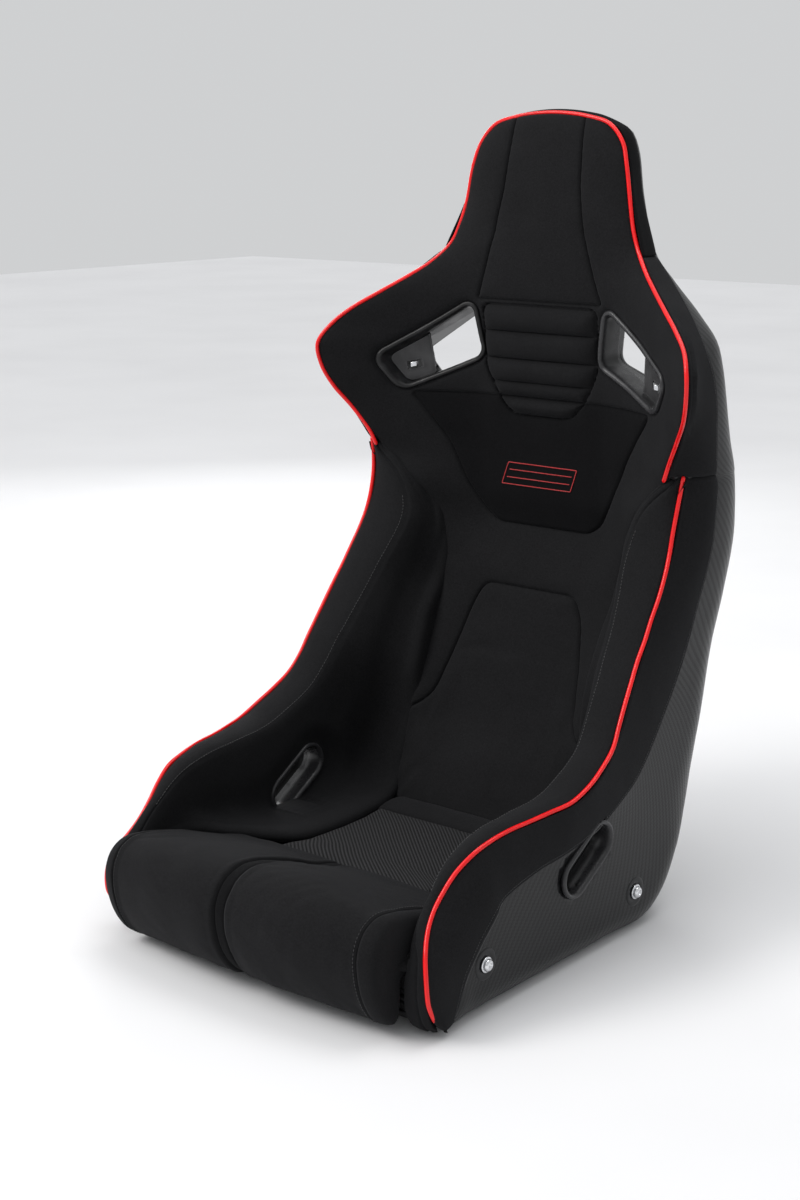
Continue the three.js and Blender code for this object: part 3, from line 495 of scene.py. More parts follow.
def bump(nodes, links, height, distance, strength, previous=None):
    made = node(nodes, "ShaderNodeBump", Strength=strength, Distance=distance)
    links.new(height, made.inputs["Height"])
    if previous is not None:
        links.new(previous, made.inputs["Normal"])
    return made.outputs["Normal"]


def weave_axes(nodes, links, turn=0.0):
    """u and v of the weave map in metres, turned by an angle."""
    source = nodes.new("ShaderNodeUVMap")
    source.uv_map = "weave"
    turned = node(nodes, "ShaderNodeMapping")
    turned.inputs["Rotation"].default_value = (0, 0, turn)
    links.new(source.outputs["UV"], turned.inputs["Vector"])
    split = nodes.new("ShaderNodeSeparateXYZ")
    links.new(turned.outputs["Vector"], split.inputs["Vector"])
    return split.outputs["X"], split.outputs["Y"]


def wave(nodes, links, axis, pitch, phase=0.0):
    """0 to 1 sine along an axis with the given pitch."""
    angle = math_node(nodes, links, "MULTIPLY", axis, 2 * math.pi / pitch)
    if phase is not None:
        angle = math_node(nodes, links, "ADD", angle, phase)
    value = math_node(nodes, links, "SINE", angle)
    return math_node(nodes, links, "MULTIPLY_ADD", value, 0.5)


def cloth_material(name, dark, light, roughness, pitch=1.1, sheen=0.045):
    """Black seat cloth: a fine weave, fibre fuzz, and a slow drift in tone and height."""
    material, nodes, links, shader = new_material(name, dark, roughness, specular=0.1)
    place = nodes.new("ShaderNodeTexCoord").outputs["Object"]
    drift = noise(nodes, links, place, 9.0, 3.0)
    fuzz = noise(nodes, links, place, 1500.0, 1.0)
    fibre = noise(nodes, links, place, 420.0, 3.0)
    u, v = weave_axes(nodes, links)
    over = wave(nodes, links, u, pitch * MM)
    under = wave(nodes, links, v, pitch * MM, math.pi / 2)
    threads = math_node(nodes, links, "MAXIMUM", over, under)
    mixed = math_node(nodes, links, "MULTIPLY", threads, fuzz)
    mixed = math_node(nodes, links, "ADD", mixed, math_node(nodes, links, "MULTIPLY", fibre, 0.8))
    tone = math_node(nodes, links, "ADD", math_node(nodes, links, "MULTIPLY", mixed, 0.55),
                     math_node(nodes, links, "MULTIPLY", drift, 0.35))
    links.new(ramp(nodes, links, tone, [(0.25, dark), (0.95, light)]), shader.inputs["Base Color"])
    rough = math_node(nodes, links, "MULTIPLY_ADD", drift, 0.14)
    rough.node.inputs[2].default_value = roughness - 0.07
    links.new(rough, shader.inputs["Roughness"])
    slow = bump(nodes, links, noise(nodes, links, place, 26.0, 2.0), 0.0035, 0.22)
    links.new(bump(nodes, links, mixed, 0.00035, 0.7, slow), shader.inputs["Normal"])
    shader.inputs["Sheen Weight"].default_value = sheen
    shader.inputs["Sheen Roughness"].default_value = 0.45
    shader.inputs["Sheen Tint"].default_value = (0.55, 0.56, 0.6, 1)
    return material


def grip_material(name):
    """Ribbed grip cloth: slanting cords with cross threads between them."""
    material, nodes, links, shader = new_material(name, (0.012, 0.012, 0.013), 0.75, specular=0.12)
    place = nodes.new("ShaderNodeTexCoord").outputs["Object"]
    u, v = weave_axes(nodes, links, GRIP_TURN)
    cords = wave(nodes, links, u, 4.0 * MM)
    slanted = math_node(nodes, links, "ADD", v, math_node(nodes, links, "MULTIPLY", u, 0.9))
    cross = wave(nodes, links, slanted, 2.6 * MM)
    body = math_node(nodes, links, "MULTIPLY", cords, math_node(nodes, links, "MULTIPLY_ADD", cross, 0.45))
    body.node.inputs[1].links[0].from_node.inputs[2].default_value = 0.55
    fuzz = noise(nodes, links, place, 1200.0, 1.0)
    height = math_node(nodes, links, "ADD", body, math_node(nodes, links, "MULTIPLY", fuzz, 0.3))
    colors = [(0.12, (0.0015, 0.0015, 0.0018)), (0.95, (0.034, 0.034, 0.036))]
    links.new(ramp(nodes, links, height, colors), shader.inputs["Base Color"])
    links.new(bump(nodes, links, height, 0.0012, 0.8), shader.inputs["Normal"])
    shader.inputs["Sheen Weight"].default_value = 0.03
    return material


def carbon_material(name):
    """Black twill under clear lacquer."""
    material, nodes, links, shader = new_material(name, (0.01, 0.01, 0.011), 0.4, specular=0.12)
    place = nodes.new("ShaderNodeTexCoord").outputs["Object"]
    u, v = weave_axes(nodes, links)
    tow = 2.6 * MM
    column = math_node(nodes, links, "FLOOR", math_node(nodes, links, "DIVIDE", u, tow))
    row = math_node(nodes, links, "FLOOR", math_node(nodes, links, "DIVIDE", v, tow))
    step = math_node(nodes, links, "FLOORED_MODULO", math_node(nodes, links, "ADD", column, row), 4.0)
    on_top = math_node(nodes, links, "LESS_THAN", step, 1.5)
    over = wave(nodes, links, u, tow)
    under = wave(nodes, links, v, tow)
    mix = nodes.new("ShaderNodeMix")
    links.new(on_top, mix.inputs["Factor"])
    links.new(math_node(nodes, links, "MULTIPLY", under, 0.35), mix.inputs["A"])
    links.new(math_node(nodes, links, "MULTIPLY_ADD", over, 0.35), mix.inputs["B"])
    mix.inputs["B"].links[0].from_node.inputs[2].default_value = 0.6
    height = mix.outputs["Result"]
    colors = [(0.0, (0.002, 0.002, 0.0023)), (1.0, (0.011, 0.0115, 0.0125))]
    links.new(ramp(nodes, links, height, colors), shader.inputs["Base Color"])
    rough = math_node(nodes, links, "MULTIPLY_ADD", height, -0.2)
    rough.node.inputs[2].default_value = 0.5
    links.new(rough, shader.inputs["Roughness"])
    ripple = bump(nodes, links, noise(nodes, links, place, 60.0), 0.001, 0.06)
    links.new(bump(nodes, links, height, 0.0003, 0.35, ripple), shader.inputs["Normal"])
    shader.inputs["Coat Weight"].default_value = 0.3
    shader.inputs["Coat Roughness"].default_value = 0.12
    return material


def vinyl_material(name):
    """Glossy red piping with a faint grain and darker patches of handling."""
    material, nodes, links, shader = new_material(name, (0.8, 0.004, 0.008), 0.3, specular=0.35)
    place = nodes.new("ShaderNodeTexCoord").outputs["Object"]
    drift = noise(nodes, links, place, 35.0, 3.0)
    grain = noise(nodes, links, place, 900.0, 2.0)
    colors = [(0.3, (0.7, 0.002, 0.004)), (0.75, (0.88, 0.006, 0.008))]
    links.new(ramp(nodes, links, drift, colors), shader.inputs["Base Color"])
    rough = math_node(nodes, links, "MULTIPLY_ADD", drift, 0.2)
    rough.node.inputs[2].default_value = 0.22
    links.new(rough, shader.inputs["Roughness"])
    slow = bump(nodes, links, drift, 0.0012, 0.25)
    links.new(bump(nodes, links, grain, 0.0001, 0.3, slow), shader.inputs["Normal"])
    shader.inputs["Coat Weight"].default_value = 0.15
    shader.inputs["Coat Roughness"].default_value = 0.15
    return material


def plastic_material(name, dark, light, roughness):
    """Moulded satin plastic: a fine spark texture, with a painted highlight that makes its convex edges
    paler, and smoother roughness on those edges.
    """
    material, nodes, links, shader = new_material(name, dark, roughness, specular=0.35)
    place = nodes.new("ShaderNodeTexCoord").outputs["Object"]
    spark = node(nodes, "ShaderNodeTexVoronoi", Scale=1400.0)
    links.new(place, spark.inputs["Vector"])
    # painted highlight: convex edges (high pointiness) are coloured paler, with some random tone from the
    # noise; the same mask also lowers the roughness there
    edge_sharpness = node(nodes, "ShaderNodeNewGeometry").outputs["Pointiness"]
    painted_edge_highlight = math_node(nodes, links, "ADD", math_node(nodes, links, "MULTIPLY", edge_sharpness, 1.6),
                       math_node(nodes, links, "MULTIPLY", noise(nodes, links, place, 55.0, 3.0), 0.25))
    links.new(ramp(nodes, links, painted_edge_highlight, [(0.86, dark), (1.08, light)]), shader.inputs["Base Color"])
    links.new(ramp(nodes, links, painted_edge_highlight, [(0.86, (roughness,) * 3), (1.08, (roughness * 0.6,) * 3)]),
              shader.inputs["Roughness"])
    links.new(bump(nodes, links, spark.outputs["Distance"], 0.0002, 0.4), shader.inputs["Normal"])
    return material


def metal_material(name, color, roughness, brushed=600.0):
    material, nodes, links, shader = new_material(name, color, roughness, metallic=1.0)
    place = nodes.new("ShaderNodeTexCoord").outputs["Object"]
    scratch = noise(nodes, links, place, brushed, 3.0)
    tint = tuple(c * 0.8 for c in color)
    links.new(ramp(nodes, links, scratch, [(0.3, tint), (0.7, color)]), shader.inputs["Base Color"])
    rough = math_node(nodes, links, "MULTIPLY_ADD", scratch, 0.12)
    rough.node.inputs[2].default_value = roughness
    links.new(rough, shader.inputs["Roughness"])
    links.new(bump(nodes, links, scratch, 0.00005, 0.3), shader.inputs["Normal"])
    return material


def thread_material(name, color):
    """Twisted sewing thread."""
    material, nodes, links, shader = new_material(name, color, 0.55)
    place = nodes.new("ShaderNodeTexCoord").outputs["Object"]
    twist = noise(nodes, links, place, 1600.0, 2.0)
    dark = tuple(c * 0.6 for c in color)
    links.new(ramp(nodes, links, twist, [(0.3, dark), (0.7, color)]), shader.inputs["Base Color"])
    links.new(bump(nodes, links, twist, 0.0001, 0.6), shader.inputs["Normal"])
    shader.inputs["Sheen Weight"].default_value = 0.3
    return material


def foam_material(name):
    """Open-cell foam."""
    material, nodes, links, shader = new_material(name, (0.06, 0.06, 0.063), 0.95, specular=0.2)
    place = nodes.new("ShaderNodeTexCoord").outputs["Object"]
    cells = node(nodes, "ShaderNodeTexVoronoi", Scale=700.0)
    links.new(place, cells.inputs["Vector"])
    colors = [(0.1, (0.025, 0.025, 0.027)), (0.7, (0.085, 0.085, 0.09))]
    links.new(ramp(nodes, links, cells.outputs["Distance"], colors), shader.inputs["Base Color"])
    links.new(bump(nodes, links, cells.outputs["Distance"], 0.001, 0.8), shader.inputs["Normal"])
    return material


def hook_material(name):
    """Hook tape: rows of tiny hooks on a woven ground."""
    material, nodes, links, shader = new_material(name, (0.02, 0.02, 0.021), 0.8, specular=0.3)
    place = nodes.new("ShaderNodeTexCoord").outputs["Object"]
    hooks = node(nodes, "ShaderNodeTexVoronoi", Scale=650.0, Randomness=0.2)
    links.new(place, hooks.inputs["Vector"])
    colors = [(0.05, (0.05, 0.05, 0.053)), (0.6, (0.008, 0.008, 0.009))]
    links.new(ramp(nodes, links, hooks.outputs["Distance"], colors), shader.inputs["Base Color"])
    links.new(bump(nodes, links, hooks.outputs["Distance"], 0.0012, 0.9), shader.inputs["Normal"])
    return material


GRIP_TURN = math.radians(-48)
CLOTH = cloth_material("seat_cloth_black", (0.0022, 0.0022, 0.0025), (0.017, 0.017, 0.0182), 0.88)
DARK_CLOTH = cloth_material("dark_cloth_smooth", (0.0013, 0.0013, 0.0016), (0.008, 0.008, 0.0088), 0.94,
                            pitch=0.8, sheen=0.025)
GRIP = grip_material("grip_cloth_ribbed")
CARBON = carbon_material("carbon_twill_lacquered")
PIPING = vinyl_material("piping_red_vinyl")
PLASTIC = plastic_material("bezel_satin_black", (0.004, 0.004, 0.0044), (0.03, 0.03, 0.032), 0.4)
PLATE_PLASTIC = plastic_material("blanking_plate_grey", (0.02, 0.02, 0.021), (0.05, 0.05, 0.052), 0.45)
CHROME = metal_material("bolt_chrome_plate", (0.82, 0.83, 0.85), 0.08)
STEEL = metal_material("plate_zinc_steel", (0.45, 0.46, 0.48), 0.38, 240.0)
THREAD = thread_material("thread_grey_black", (0.022, 0.022, 0.024))
RED_THREAD = thread_material("thread_red", (0.62, 0.008, 0.012))
FOAM = foam_material("foam_open_cell")
HOOKS = hook_material("hook_tape")


def place(obj, body, slot, *nodes, fill=None):
    """Ties a finished piece to its body and hides the CAD nodes that it stands for; slot, its finish, is not
    used.
    """
    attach(obj, body)
    if nodes:
        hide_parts(*nodes)
    return obj


# ---- planes of the sections ----
class Section:
    def __init__(self, rim, base, edge, side, corner, recess, crown=0.0, seam=None, wall=None, crest=None):
        self.rim = np.array(rim, float)
        self.base = np.array(base, float)
        self.edge, self.side, self.corner, self.recess, self.crown = edge, side, corner, recess, crown
        self.seam, self.wall, self.crest = seam, wall, crest
        self.height = float(np.linalg.norm(self.rim[1:] - self.base))

    def point(self, x, h):
        t = h / self.height
        across = min(1.0, abs(x) / self.rim[0])
        lift = self.crown * (1 - across ** 2)
        y, z = self.base + (self.rim[1:] - self.base) * t
        return (x, y, z + lift)

    def outside(self, h, offset=0.0):
        """x of the shell's outer side at a height above the base."""
        top = self.height - 6.0
        if h < self.corner:
            r = self.corner + offset
            down = min(self.corner - h, r * 0.995)
            return self.side - self.corner + math.sqrt(r * r - down * down)
        t = min(1.0, max(0.0, (top - h) / (top - self.corner)))
        return self.rim[0] + 1.5 + (self.side - self.rim[0] - 1.5) * (1 - (1 - t) ** 3) + offset


LOW = [Section(r, b, e, s, c, d, seam=m, wall=w, crest=k) for r, b, m, w, k, e, s, c, d in BOLSTER]
TOP_SECTION = Section(*BOLSTER_TOP[:2], *BOLSTER_TOP[5:], seam=BOLSTER_TOP[2], wall=BOLSTER_TOP[3],
                      crest=BOLSTER_TOP[4])
HIGH = [Section(r, (b, r[2]), e, s, c, d, crown=k) for r, b, e, s, c, d, k in HEAD]


# ---- shell ----
PROFILE_COUNT = 46


def shell_profile(s, inset):
    """Half of the shell's section, from its rim down and in to the centre."""
    top = s.height - 6.0
    h_side = np.linspace(top, s.corner, 16)
    points = [(s.outside(h) - inset, h) for h in h_side]
    r = max(s.corner - inset, 2.0)
    centre = s.side - s.corner
    for a in np.linspace(0, math.pi / 2, 10)[1:]:
        points.append((centre + r * math.cos(a), s.corner - r * math.sin(a)))
    hollow = min(centre - 6, 150)
    x = np.linspace(hollow, 0, 18)
    t = np.clip((hollow - x) / (hollow * 0.45), 0, 1)
    points += [(a, inset + s.recess * b * b * (3 - 2 * b)) for a, b in zip(x, t)]
    return curve([(a, 0, b) for a, b in points], PROFILE_COUNT)[:, [0, 2]]


def shell_rows(inset):
    rows = []
    for s in LOW + HIGH:
        half = [s.point(x, h) for x, h in shell_profile(s, inset)]
        other = [(-x, y, z) for x, y, z in reversed(half[:-1])]
        rows.append(half + other)
    return curve(rows, 150)


def build_shell():
    outer = shell_rows(0.0)
    inner = shell_rows(4.0)
    rows, cols = outer.shape[:2]
    faces = grid_faces(rows, cols)
    vertices = np.vstack([outer.reshape(-1, 3), inner.reshape(-1, 3)])
    vertices[:, 2] = np.maximum(vertices[:, 2], 0)
    count = rows * cols
    slot = grown(SHOULDER_SLOT, 12, 4)
    lap = lap_outline(3.5)

    def open_at(points):
        x = np.abs(points[:, 0])
        hole = inside(np.stack([x, points[:, 2]], axis=1), slot) & (points[:, 1] > 240)
        hole |= inside(points[:, 1:], lap) & (x > 225)
        return hole | ((points[:, 1] < -227) & (x < 208) & (points[:, 2] > 14))
    keep = ~open_at(vertices[faces].mean(axis=1))
    front = faces[keep]
    back = front[:, ::-1] + count
    edges = {(int(a), int(b)) for k in range(4) for a, b in front[:, [k, (k + 1) % 4]]}
    walls = [(b, a, a + count, b + count) for a, b in sorted(edges) if (b, a) not in edges]
    weave = lengths_of(outer).reshape(-1, 2)
    shell = mesh_object("shell", vertices, np.vstack([front, back, np.array(walls)]), CARBON,
                        np.vstack([weave, weave]))
    place(shell, SEAT, "shell_carbon", "seat_shell")
    # crown of the head, under the cloth
    top = HIGH[-1]
    cap = np.array([[top.point(x * top.outside(h), h) for x in np.linspace(-1, 1, 31)]
                    for h in np.linspace(1.0, top.height - 6, 9)])
    cap_object = sheet_object("shell_top", cap, 3.0, CARBON, outward=np.array([0, 0, 1]))
    place(cap_object, SEAT, "shell_carbon")
    return BVHTree.FromPolygons((vertices * MM).tolist(), faces.tolist())


def grown(points, radius, grow):
    """Rounded outline moved outward."""
    outline = rounded(points, radius)
    return outline + outline_normals(outline) * grow


def lap_outline(grow, spacing=2.0):
    """Lap belt slot in (y, z)."""
    r = LAP_WIDTH / 2 + grow
    half = (LAP_LENGTH - LAP_WIDTH) / 2
    points = []
    for sign in (1, -1):
        for a in np.linspace(-math.pi / 2, math.pi / 2, 17):
            points.append((sign * (half + r * math.cos(a)), sign * r * math.sin(a)))
    points = np.array(points + [points[0]])
    s = np.concatenate([[0], np.cumsum(np.linalg.norm(np.diff(points, axis=0), axis=1))])
    at = np.linspace(0, s[-1], int(s[-1] / spacing), endpoint=False)
    flat = np.stack([np.interp(at, s, column) for column in points.T], axis=1)
    c, d = math.cos(LAP_TILT), math.sin(LAP_TILT)
    return flat @ np.array([[c, d], [-d, c]]) + (LAP_Y, LAP_Z)


SHELL_TREE = build_shell()


# ---- bolsters ----
def bolster_profile(s):
    """Face of the bolster in its section: pan or back seam, wall, stitched crest, piping."""
    (sx, sh), (wx, wh), (cx, ch) = s.seam, s.wall, s.crest
    tuck = np.interp(s.base[0], [200, 300], [9, 27])
    inner = curve([(sx - 3, 0, sh - tuck), (sx, 0, sh - 0.5),
                   ((sx + wx) / 2, 0, sh + (wh - sh) * 0.3), (wx, 0, wh),
                   (wx + (cx - wx) * 0.42, 0, wh + (ch - wh) * 0.5), (cx, 0, ch)], INNER_COLS)
    rx = s.rim[0] - 2.0
    rise = 3.5
    outer = curve([(cx, 0, ch), (cx + (rx - cx) * 0.3, 0, ch + (s.height - ch) * 0.3 + rise),
                   (cx + (rx - cx) * 0.7, 0, ch + (s.height - ch) * 0.7 + rise), (rx, 0, s.height + 0.2)],
                  OUTER_COLS)
    return np.vstack([inner, outer[1:]])[:, [0, 2]]


INNER_COLS, OUTER_COLS = 40, 18
NOSE_ROWS = [
    # front end of the bolster, from under the seat up: inner seam and piping (x, y, z)
    ((211, -214, 4), (241, -216, 6)),
    ((210, -226, 12), (243, -228, 17)),
    ((209, -234, 26), (245, -236, 33)),
    ((209, -237, 46), (246, -242, 52)),
    ((210, -236, 68), (245, -243, 76)),
    ((211, -231, 86), (240, -238, 96)),
]


def nose_row(inner, rim):
    inner, rim = np.array(inner, float), np.array(rim, float) - (2, 0, 0)
    t = np.linspace(0, 1, INNER_COLS + OUTER_COLS - 1)[:, None]
    bulge = np.sin(np.pi * t) ** 0.7 * np.array([0, -4.0, -1.0])
    return inner + (rim - inner) * t + bulge


def bolster_rows():
    rows = [nose_row(*pair) for pair in NOSE_ROWS]
    sections = LOW[1:] + [TOP_SECTION]
    rows += [np.array([s.point(x, h) for x, h in bolster_profile(s)]) for s in sections]
    return rows


def edge_distance(grid):
    """Distance of each point from the first and last column, along its row."""
    step = np.linalg.norm(np.diff(grid, axis=1), axis=2)
    s = np.hstack([np.zeros((len(grid), 1)), np.cumsum(step, axis=1)])
    return s, s[:, -1:] - s


def soft_noise(points, scale, seed):
    """Smooth, repeatable unevenness, -1 to 1, over millimetre points."""
    rng = np.random.default_rng(seed)
    total = np.zeros(points.shape[:-1])
    for _ in range(7):
        direction = rng.normal(size=3)
        direction /= np.linalg.norm(direction)
        stretch = rng.uniform(0.6, 1.6)
        total += np.sin(points @ direction * (2 * np.pi / scale) * stretch + rng.uniform(0, 6.28))
    return total / 7 * 1.8


def lap_hollow(grid):
    """Draws the cloth back round the lap belt bezel."""
    flat = grid.reshape(-1, 3).copy()
    outline = lap_outline(LAP_LIP)
    _, distance = nearest(flat[:, 1:], outline)
    distance[inside(flat[:, 1:], outline)] = 0
    reach = np.clip(1 - distance / 30, 0, 1)
    reach = reach * reach * (3 - 2 * reach)
    lower = (flat[:, 2] < 205) & (flat[:, 0] > 150)
    target = np.maximum(flat[:, 0], 198.5)
    flat[lower, 0] += ((target - flat[:, 0]) * reach)[lower]
    return flat.reshape(grid.shape)


def build_bolster(side):
    sign = 1 if side == "right" else -1
    grid = curve(bolster_rows(), 190)
    normals = normals_of(grid)
    if (normals[:, -10] * (0, -0.5, 1)).sum(axis=1).mean() < 0:
        normals = -normals
    near, far = edge_distance(grid)
    crest = np.abs(near - near[:, INNER_COLS - 1:INNER_COLS])
    lift = 2.2 * (1 - np.exp(-near / 9)) * (1 - np.exp(-far / 7)) * (1 - np.exp(-crest / 11))
    lift -= 1.5 * np.exp(-(near / 3.0) ** 2) + 1.2 * np.exp(-(crest / 1.6) ** 2)
    lift += 0.5 * soft_noise(grid, 55, 3)
    pucker = np.exp(-(crest / 6.0) ** 2) * 0.28
    along = np.cumsum(np.concatenate([[0], np.linalg.norm(np.diff(grid[:, INNER_COLS], axis=0), axis=1)]))
    lift += pucker * np.sin(along * 2 * np.pi / 8.4)[:, None]
    face = lap_hollow(grid + normals * lift[..., None])
    face = face * (sign, 1, 1)
    lap = lap_outline(3.5)
    away = lambda p: ~(inside(p[:, 1:], lap) & (np.abs(p[:, 0]) > 180))
    up = np.array([-0.3 * sign, -0.6, 0.7])
    pad = sheet_object(f"bolster_pad_{side}", face, 12.0, CLOTH, keep=away, outward=up)
    place(pad, SEAT, "seat_cloth", f"bolster_{side}", fill=0.85)
    # topstitch along the crest, a little outboard of the seam
    column = INNER_COLS + 1
    used = slice(34, 172)
    outward = normals_of(face)[used, column]
    if (outward * up).sum(axis=1).mean() < 0:
        outward = -outward
    line = face[used, column] + outward * 0.15
    stitches = stitch_object(f"bolster_topstitch_{side}", [(line, outward)], THREAD)
    place(stitches, SEAT, "seat_cloth")


for which in ("right", "left"):
    build_bolster(which)


# ---- outer covers ----
BAND_COLS = 22
NOSE_BANDS = [
    # piping (x, y, z) and cloth edge (x, y, z), from under the seat up
    ((242, -218, 8), (240, -206, 3)),
    ((245, -231, 22), (246, -200, 11)),
    ((246.5, -240, 42), (247.5, -191, 27)),
    ((246, -243, 66), (247.5, -183, 44)),
    ((240.5, -238.5, 93), (247.5, -173, 60)),
    ((231, -225, 113), (247.5, -161, 74)),
    ((225, -206, 134), (247.5, -149, 87)),
    ((226, -184, 157), (247.5, -137, 98)),
    ((232, -155, 179), (247.5, -124, 110)),
]


def band_row(s):
    top = s.height - 2.5
    low = s.edge
    heights = np.linspace(top, low, BAND_COLS)
    t = np.linspace(0, 1, BAND_COLS)
    swell = 2.2 + 2.0 * np.sin(np.pi * t) - 1.6 * t ** 6
    return np.array([s.point(s.outside(h, a), h) for h, a in zip(heights, swell)])


def nose_band(top, low):
    top, low = np.array(top, float), np.array(low, float)
    t = np.linspace(0, 1, BAND_COLS)[:, None]
    corner = top + (low - top) * 0.32
    corner[0] = 254.5
    return (1 - t) ** 2 * (top + (1, 1, 0)) + 2 * t * (1 - t) * corner + t * t * (low + (1.2, 0, 0))


def build_band(name, rows, count, node_name, material, slot_name, seed):
    grid = curve(rows, count)
    normals = normals_of(grid)
    outward = np.array([1.0, 0.1, 0.1])
    if (normals * outward).sum(axis=2).mean() < 0:
        normals = -normals
    _, far = edge_distance(grid)
    lift = 0.4 * soft_noise(grid, 60, seed) * (1 - np.exp(-far / 8)) - 1.3 * np.exp(-(far / 1.6) ** 2)
    lift[:3] -= np.array([1.6, 0.8, 0.2])[:, None]
    lift[-3:] -= np.array([0.2, 0.8, 1.6])[:, None]
    face = grid + normals * lift[..., None]
    lap = lap_outline(LAP_LIP + 0.5)
    for side, sign in (("right", 1), ("left", -1)):
        turned = face * (sign, 1, 1)
        away = lambda p: ~(inside(p[:, 1:], lap) & (p[:, 2] < 200))
        cover = sheet_object(f"{name}_{side}", turned, 2.6, material, keep=away,
                             outward=np.array([sign, 0.1, 0.1]))
        place(cover, SEAT, slot_name, f"{node_name}_{side}", fill=0.9)
    return face, normals


def edge_finish(name, face, normals, slot_name):
    """Bound edge of an outer cover, with its row of small stitches."""
    for side, sign in (("right", 1), ("left", -1)):
        edge = (face[2:-2, -1] - normals[2:-2, -1] * 0.6) * (sign, 1, 1)
        binding = tube_object(f"{name}_binding_{side}", edge[::3], 0.95, THREAD, sides=8, pitch=4.0)
        place(binding, SEAT, slot_name)
        row = (face[4:-4, -3] * (sign, 1, 1), normals[4:-4, -3] * (sign, 1, 1))
        stitches = stitch_object(f"{name}_stitch_{side}", [row], THREAD, pitch=3.4, length=2.4, radius=0.3)
        place(stitches, SEAT, slot_name)


low_rows = [nose_band(*pair) for pair in NOSE_BANDS] + [band_row(s) for s in LOW[4:] + [TOP_SECTION]]
faces_low = build_band("side_wrap", low_rows, 170, "side_cover", CLOTH, "seat_cloth", 5)
edge_finish("side_wrap", *faces_low, "seat_cloth")
shoulder = [band_row(s) for s in HIGH if s.rim[2] < HEAD_SEAM_Z]
faces_mid = build_band("shoulder_wrap", shoulder, 70, "shoulder_outer_cover", CLOTH, "seat_cloth", 6)
edge_finish("shoulder_wrap", *faces_mid, "seat_cloth")


def build_head_cover():
    sections = [s for s in HIGH if s.rim[2] > HEAD_SEAM_Z - 5]
    right = [band_row(s) for s in sections]
    top = sections[-1]
    over = []
    heights = np.linspace(top.height - 2.5, top.edge, BAND_COLS)
    t = np.linspace(0, 1, BAND_COLS)
    for share in (0.8, 0.55, 0.28, 0.0):
        rise = 1.8 + 3.2 * np.sin(np.pi * t) - 1.2 * t ** 6
        x = top.rim[0] * share
        over.append(np.array([np.add(top.point(x, h), (0, 0, a)) for h, a in zip(heights, rise)]))
    half = right[:-1] + [right[-1] * (0.99, 1, 1)] + over
    other = [row * (-1, 1, 1) for row in reversed(half[:-1])]
    grid = curve(half + other, 190)
    outward = grid - np.array([0, 315, 850])
    cover = sheet_object("head_wrap", grid, 2.6, DARK_CLOTH, outward=outward)
    place(cover, SEAT, "dark_cloth", "head_outer_cover", fill=0.9)
    normals = normals_of(grid)
    if (normals * outward).sum(axis=2).mean() < 0:
        normals = -normals
    binding = tube_object("head_wrap_binding", (grid[2:-2, -1] - normals[2:-2, -1] * 0.6)[::3], 0.95, THREAD,
                          sides=8, pitch=4.0)
    place(binding, SEAT, "dark_cloth")


build_head_cover()

# ---- piping ----
head_half = HEAD_PIPE + [(20, 298, 948)]
head_path = head_half + mirrored(head_half)[::-1].tolist()
place(tube_object("head_piping_cord", head_path, 2.5, PIPING), SEAT, "piping_red", "head_piping")
for which, sign in (("right", 1), ("left", -1)):
    cord = tube_object(f"bolster_piping_cord_{which}", np.array(BOLSTER_PIPE) * (sign, 1, 1), 2.5, PIPING)
    place(cord, SEAT, "piping_red", f"bolster_piping_{which}")


# ---- padded back ----
smooth_centre = curve([(0, 148, 70)] + [(0, y, z) for y, z in CENTRE], 400)
EDGE_LINE = [(130, 143, 70)] + BACK_EDGE + HEAD_PIPE[1:-1]
smooth_edge = curve(EDGE_LINE, 700)
BACK_FOOT, BACK_TOP = 70, 935


def centre_y(z):
    return np.interp(z, smooth_centre[:, 2], smooth_centre[:, 1])


def edge_at(z):
    heights = smooth_edge[:, 2]
    return np.interp(z, heights, smooth_edge[:, 0]), np.interp(z, heights, smooth_edge[:, 1])


def tuck_at(z):
    """How far the back's cover runs on under the bolster."""
    return np.interp(z, [505, 532], [13.0, -1.5])


def back_y(x, z):
    outer, side_y = edge_at(z)
    flat = np.minimum(88, outer * 0.55)
    t = np.clip((np.abs(x) - flat) / (outer - flat), 0, 1.3)
    return centre_y(z) + (side_y - centre_y(z)) * np.minimum(t, 1) ** 1.5 + np.clip(t - 1, 0, 1) * 60


def crown_at(z):
    return np.interp(z, [785, 848, 905, 927, 935], [0, 2, 8, 12, 12])


PANELS = {
    "headrest_center_panel": (rounded(both(HEAD_PANEL), 4), 3.2, CLOTH, "seat_cloth"),
    "ribbed_insert": (rounded(both(RIBBED_PANEL), 14), 2.0, CLOTH, "seat_cloth"),
    "chest_panel": (rounded(both(CHEST_PANEL), 12), 3.0, DARK_CLOTH, "dark_cloth"),
    "lumbar_panel": (rounded(both(LUMBAR_PANEL), 24), 4.5, CLOTH, "seat_cloth"),
}
SLOT_LIP = grown(SHOULDER_SLOT, 12, 8)
SLOT_HOLE = grown(SHOULDER_SLOT, 12, 3)


def owner_of(flat):
    """Number of the panel that each (x, z) lies in; 0 is the cover around them."""
    owner = np.zeros(len(flat), int)
    for index, (outline, *_) in enumerate(PANELS.values(), 1):
        within = inside(flat, outline)
        if index == 3:
            within &= ~inside(flat, PANELS["ribbed_insert"][0])
        owner[within] = index
    return owner


def seam_lines():
    """Sewn lines in (x, z), each a list of points with a flag for closed."""
    lines = [(outline, True) for outline, *_ in PANELS.values()]
    for z in RIB_SEAMS:
        half = float(np.interp(z, [578, 600, 627, 644, 717], [40, 66, 80, 86, 87])) - 1.5
        lines.append((np.stack([np.linspace(-half, half, 70), np.full(70, float(z))], axis=1), False))
    return lines


